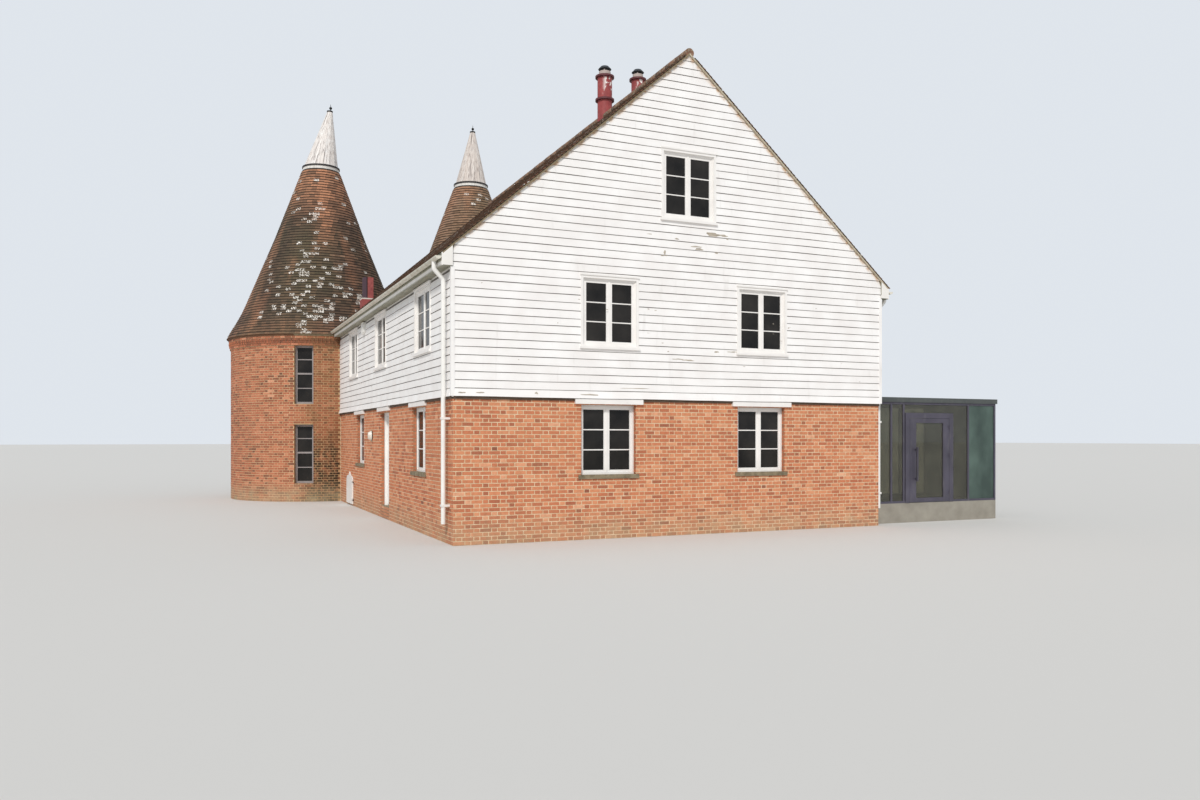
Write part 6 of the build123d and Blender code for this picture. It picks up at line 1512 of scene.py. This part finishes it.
# Oak boards run along the barn, each with its own brown, and have darker seams and grain.
FLOOR_BOARDS, tree, shader, place = start_material("oak_floor_boards", 0.6)
planks = add_node(tree, "ShaderNodeTexBrick", 0, {"offset": 0.37}, Vector=place, Scale=1.0, Color1="#8a6a48",
                  Color2="#76593c", Mortar="#2e2318", Brick_Width=2.4, Row_Height=0.15, Mortar_Size=0.003)
grain = mottled(tree, place, 1.0, [(0.3, 0.0), (0.7, 0.4)], 4.0, (2.0, 50.0, 50.0))
lay_on(tree, shader, add_node(tree, *MIX, i0=grain, i6=planks, i7="#5a432c"), grain, 0.001, 0.3)
print("painted", FLUE_PAINT.name, CHIMNEY_RED.name, FLOOR_BOARDS.name)

# %% [markdown]
# Each solid now gets its finish. That could be done where each finish is made, but one table shows at a
# glance what every part of the house is of, and tells when a solid has been forgotten.

# %% Hand each solid its finish
FINISHES = {
    "front_wall left_wall right_wall rear_wall door_heads throat_cheeks throat_heads": MORTAR,
    "left_roundel_wall right_roundel_wall": KILN_MORTAR,
    "front_gable rear_gable rear_upper_wall left_upper_wall right_upper_wall": WHITE_GLOSS,
    "ground_floor roundel_floors link_floor": CONCRETE,
    "first_floor attic_floor": FLOOR_BOARDS,
    "thresholds stone_sills": SANDSTONE,
    "left_roof right_roof left_roundel_roof right_roundel_roof": VERGE_BED,
    "ridge_tiles": RIDGE_CLAY,
    "eaves_boxes": EAVES_PAINT,
    "lintel_boards side_door_frame side_door hatch": WHITE_GLOSS,
    "front_windows left_windows right_windows rear_windows": WHITE_GLOSS,
    "gutters": GUTTER_PLASTIC,
    "downpipes eaves_alarm_box": PIPE_PLASTIC,
    "window_glass roundel_glass": WINDOW_GLASS,
    "hatch_plates": BLACK_IRON,
    "wall_lamp": LAMP_PLASTIC,
    "roundel_kerbs": KERB_PAINT,
    "left_cowl right_cowl": AGED_WOOD,
    "left_cowl_spindle right_cowl_spindle": BLACK_IRON,
    "valley_lead": LEAD,
    "link_roof": ROOF_METAL,
    "flues": FLUE_PAINT,
    "small_chimney": CHIMNEY_RED,
    "roundel_windows": GREY_METAL,
    "link_frame link_door": LINK_METAL,
    "link_glass link_door_glass": LINK_GLASS,
    "link_obscured_panels": OBSCURED_GLASS,
}
for names, material in FINISHES.items():
    for name in names.split():
        mesh = nodes[name].data
        mesh.materials.clear()
        mesh.materials.append(material)
print("solids without a finish", sorted(set(nodes) - set(" ".join(FINISHES).split())))

# %% [markdown]
# The stage is a plain pale floor in soft light. A picture all round could light it, but it would bring its
# own colours. One broad sun from the left of the camera gives the boards their shadow lines, and a plain
# pale background fills the rest. The camera stands before the left corner, at the height of a person's eyes.

# %% Floor, light and camera
FLOOR_SIZE = 300.0
FLOOR_LEVEL = -0.002
floor_mesh = bpy.data.meshes.new("studio_floor")
corners = [(x * FLOOR_SIZE, y * FLOOR_SIZE, FLOOR_LEVEL) for x, y in ((-1, -1), (1, -1), (1, 1), (-1, 1))]
floor_mesh.from_pydata(corners, [], [(0, 1, 2, 3)])
material, tree, shader, place = start_material("pale_studio_floor", 0.9)
shader.inputs["Base Color"].default_value = linear("#d8d6d2")
floor_mesh.materials.append(material)
floor = bpy.data.objects.new("studio_floor", floor_mesh)
bpy.context.scene.collection.objects.link(floor)

world = bpy.data.worlds.new("pale_sky")
bpy.context.scene.world = world
world.use_nodes = True
sky = world.node_tree
rays = add_node(sky, "ShaderNodeLightPath").node
seen = add_node(sky, *LARGER, i0=rays.outputs["Is Camera Ray"], i1=rays.outputs["Is Glossy Ray"])
seen = add_node(sky, *LARGER, i0=seen, i1=rays.outputs["Is Transmission Ray"])
background = sky.nodes["Background"]
background.inputs["Color"].default_value = linear("#e8eef5")
strength = add_node(sky, "ShaderNodeMapRange", Value=seen, i1=0.0, i2=1.0, i3=0.62, i4=0.92)
sky.links.new(strength, background.inputs["Strength"])

SUN_TOWARDS = np.array([-0.42, -0.66, 0.62])
sun = bpy.data.lights.new("soft_sun", "SUN")
sun.energy = 2.1
sun.angle = math.radians(7)
sun.color = (1.0, 0.975, 0.94)
sun_object = bpy.data.objects.new("soft_sun", sun)
bpy.context.scene.collection.objects.link(sun_object)
sun_object.rotation_euler = (
    math.acos(SUN_TOWARDS[2] / np.linalg.norm(SUN_TOWARDS)), 0.0, math.atan2(SUN_TOWARDS[0], -SUN_TOWARDS[1]))

camera = bpy.data.cameras.new("photo_camera")
camera.sensor_width = 36.0
camera.lens = 28.0
camera.shift_y = 38 / 1200
camera.clip_end = 600.0
camera_object = bpy.data.objects.new("photo_camera", camera)
camera_object.location = (-9.306, -23.210, 1.960)
camera_object.rotation_euler = (math.radians(90), 0.0, math.radians(-23.96))
bpy.context.scene.collection.objects.link(camera_object)
bpy.context.scene.camera = camera_object
bpy.context.scene.view_settings.view_transform = "Standard"
print("camera at", tuple(camera_object.location), "lens", camera.lens)
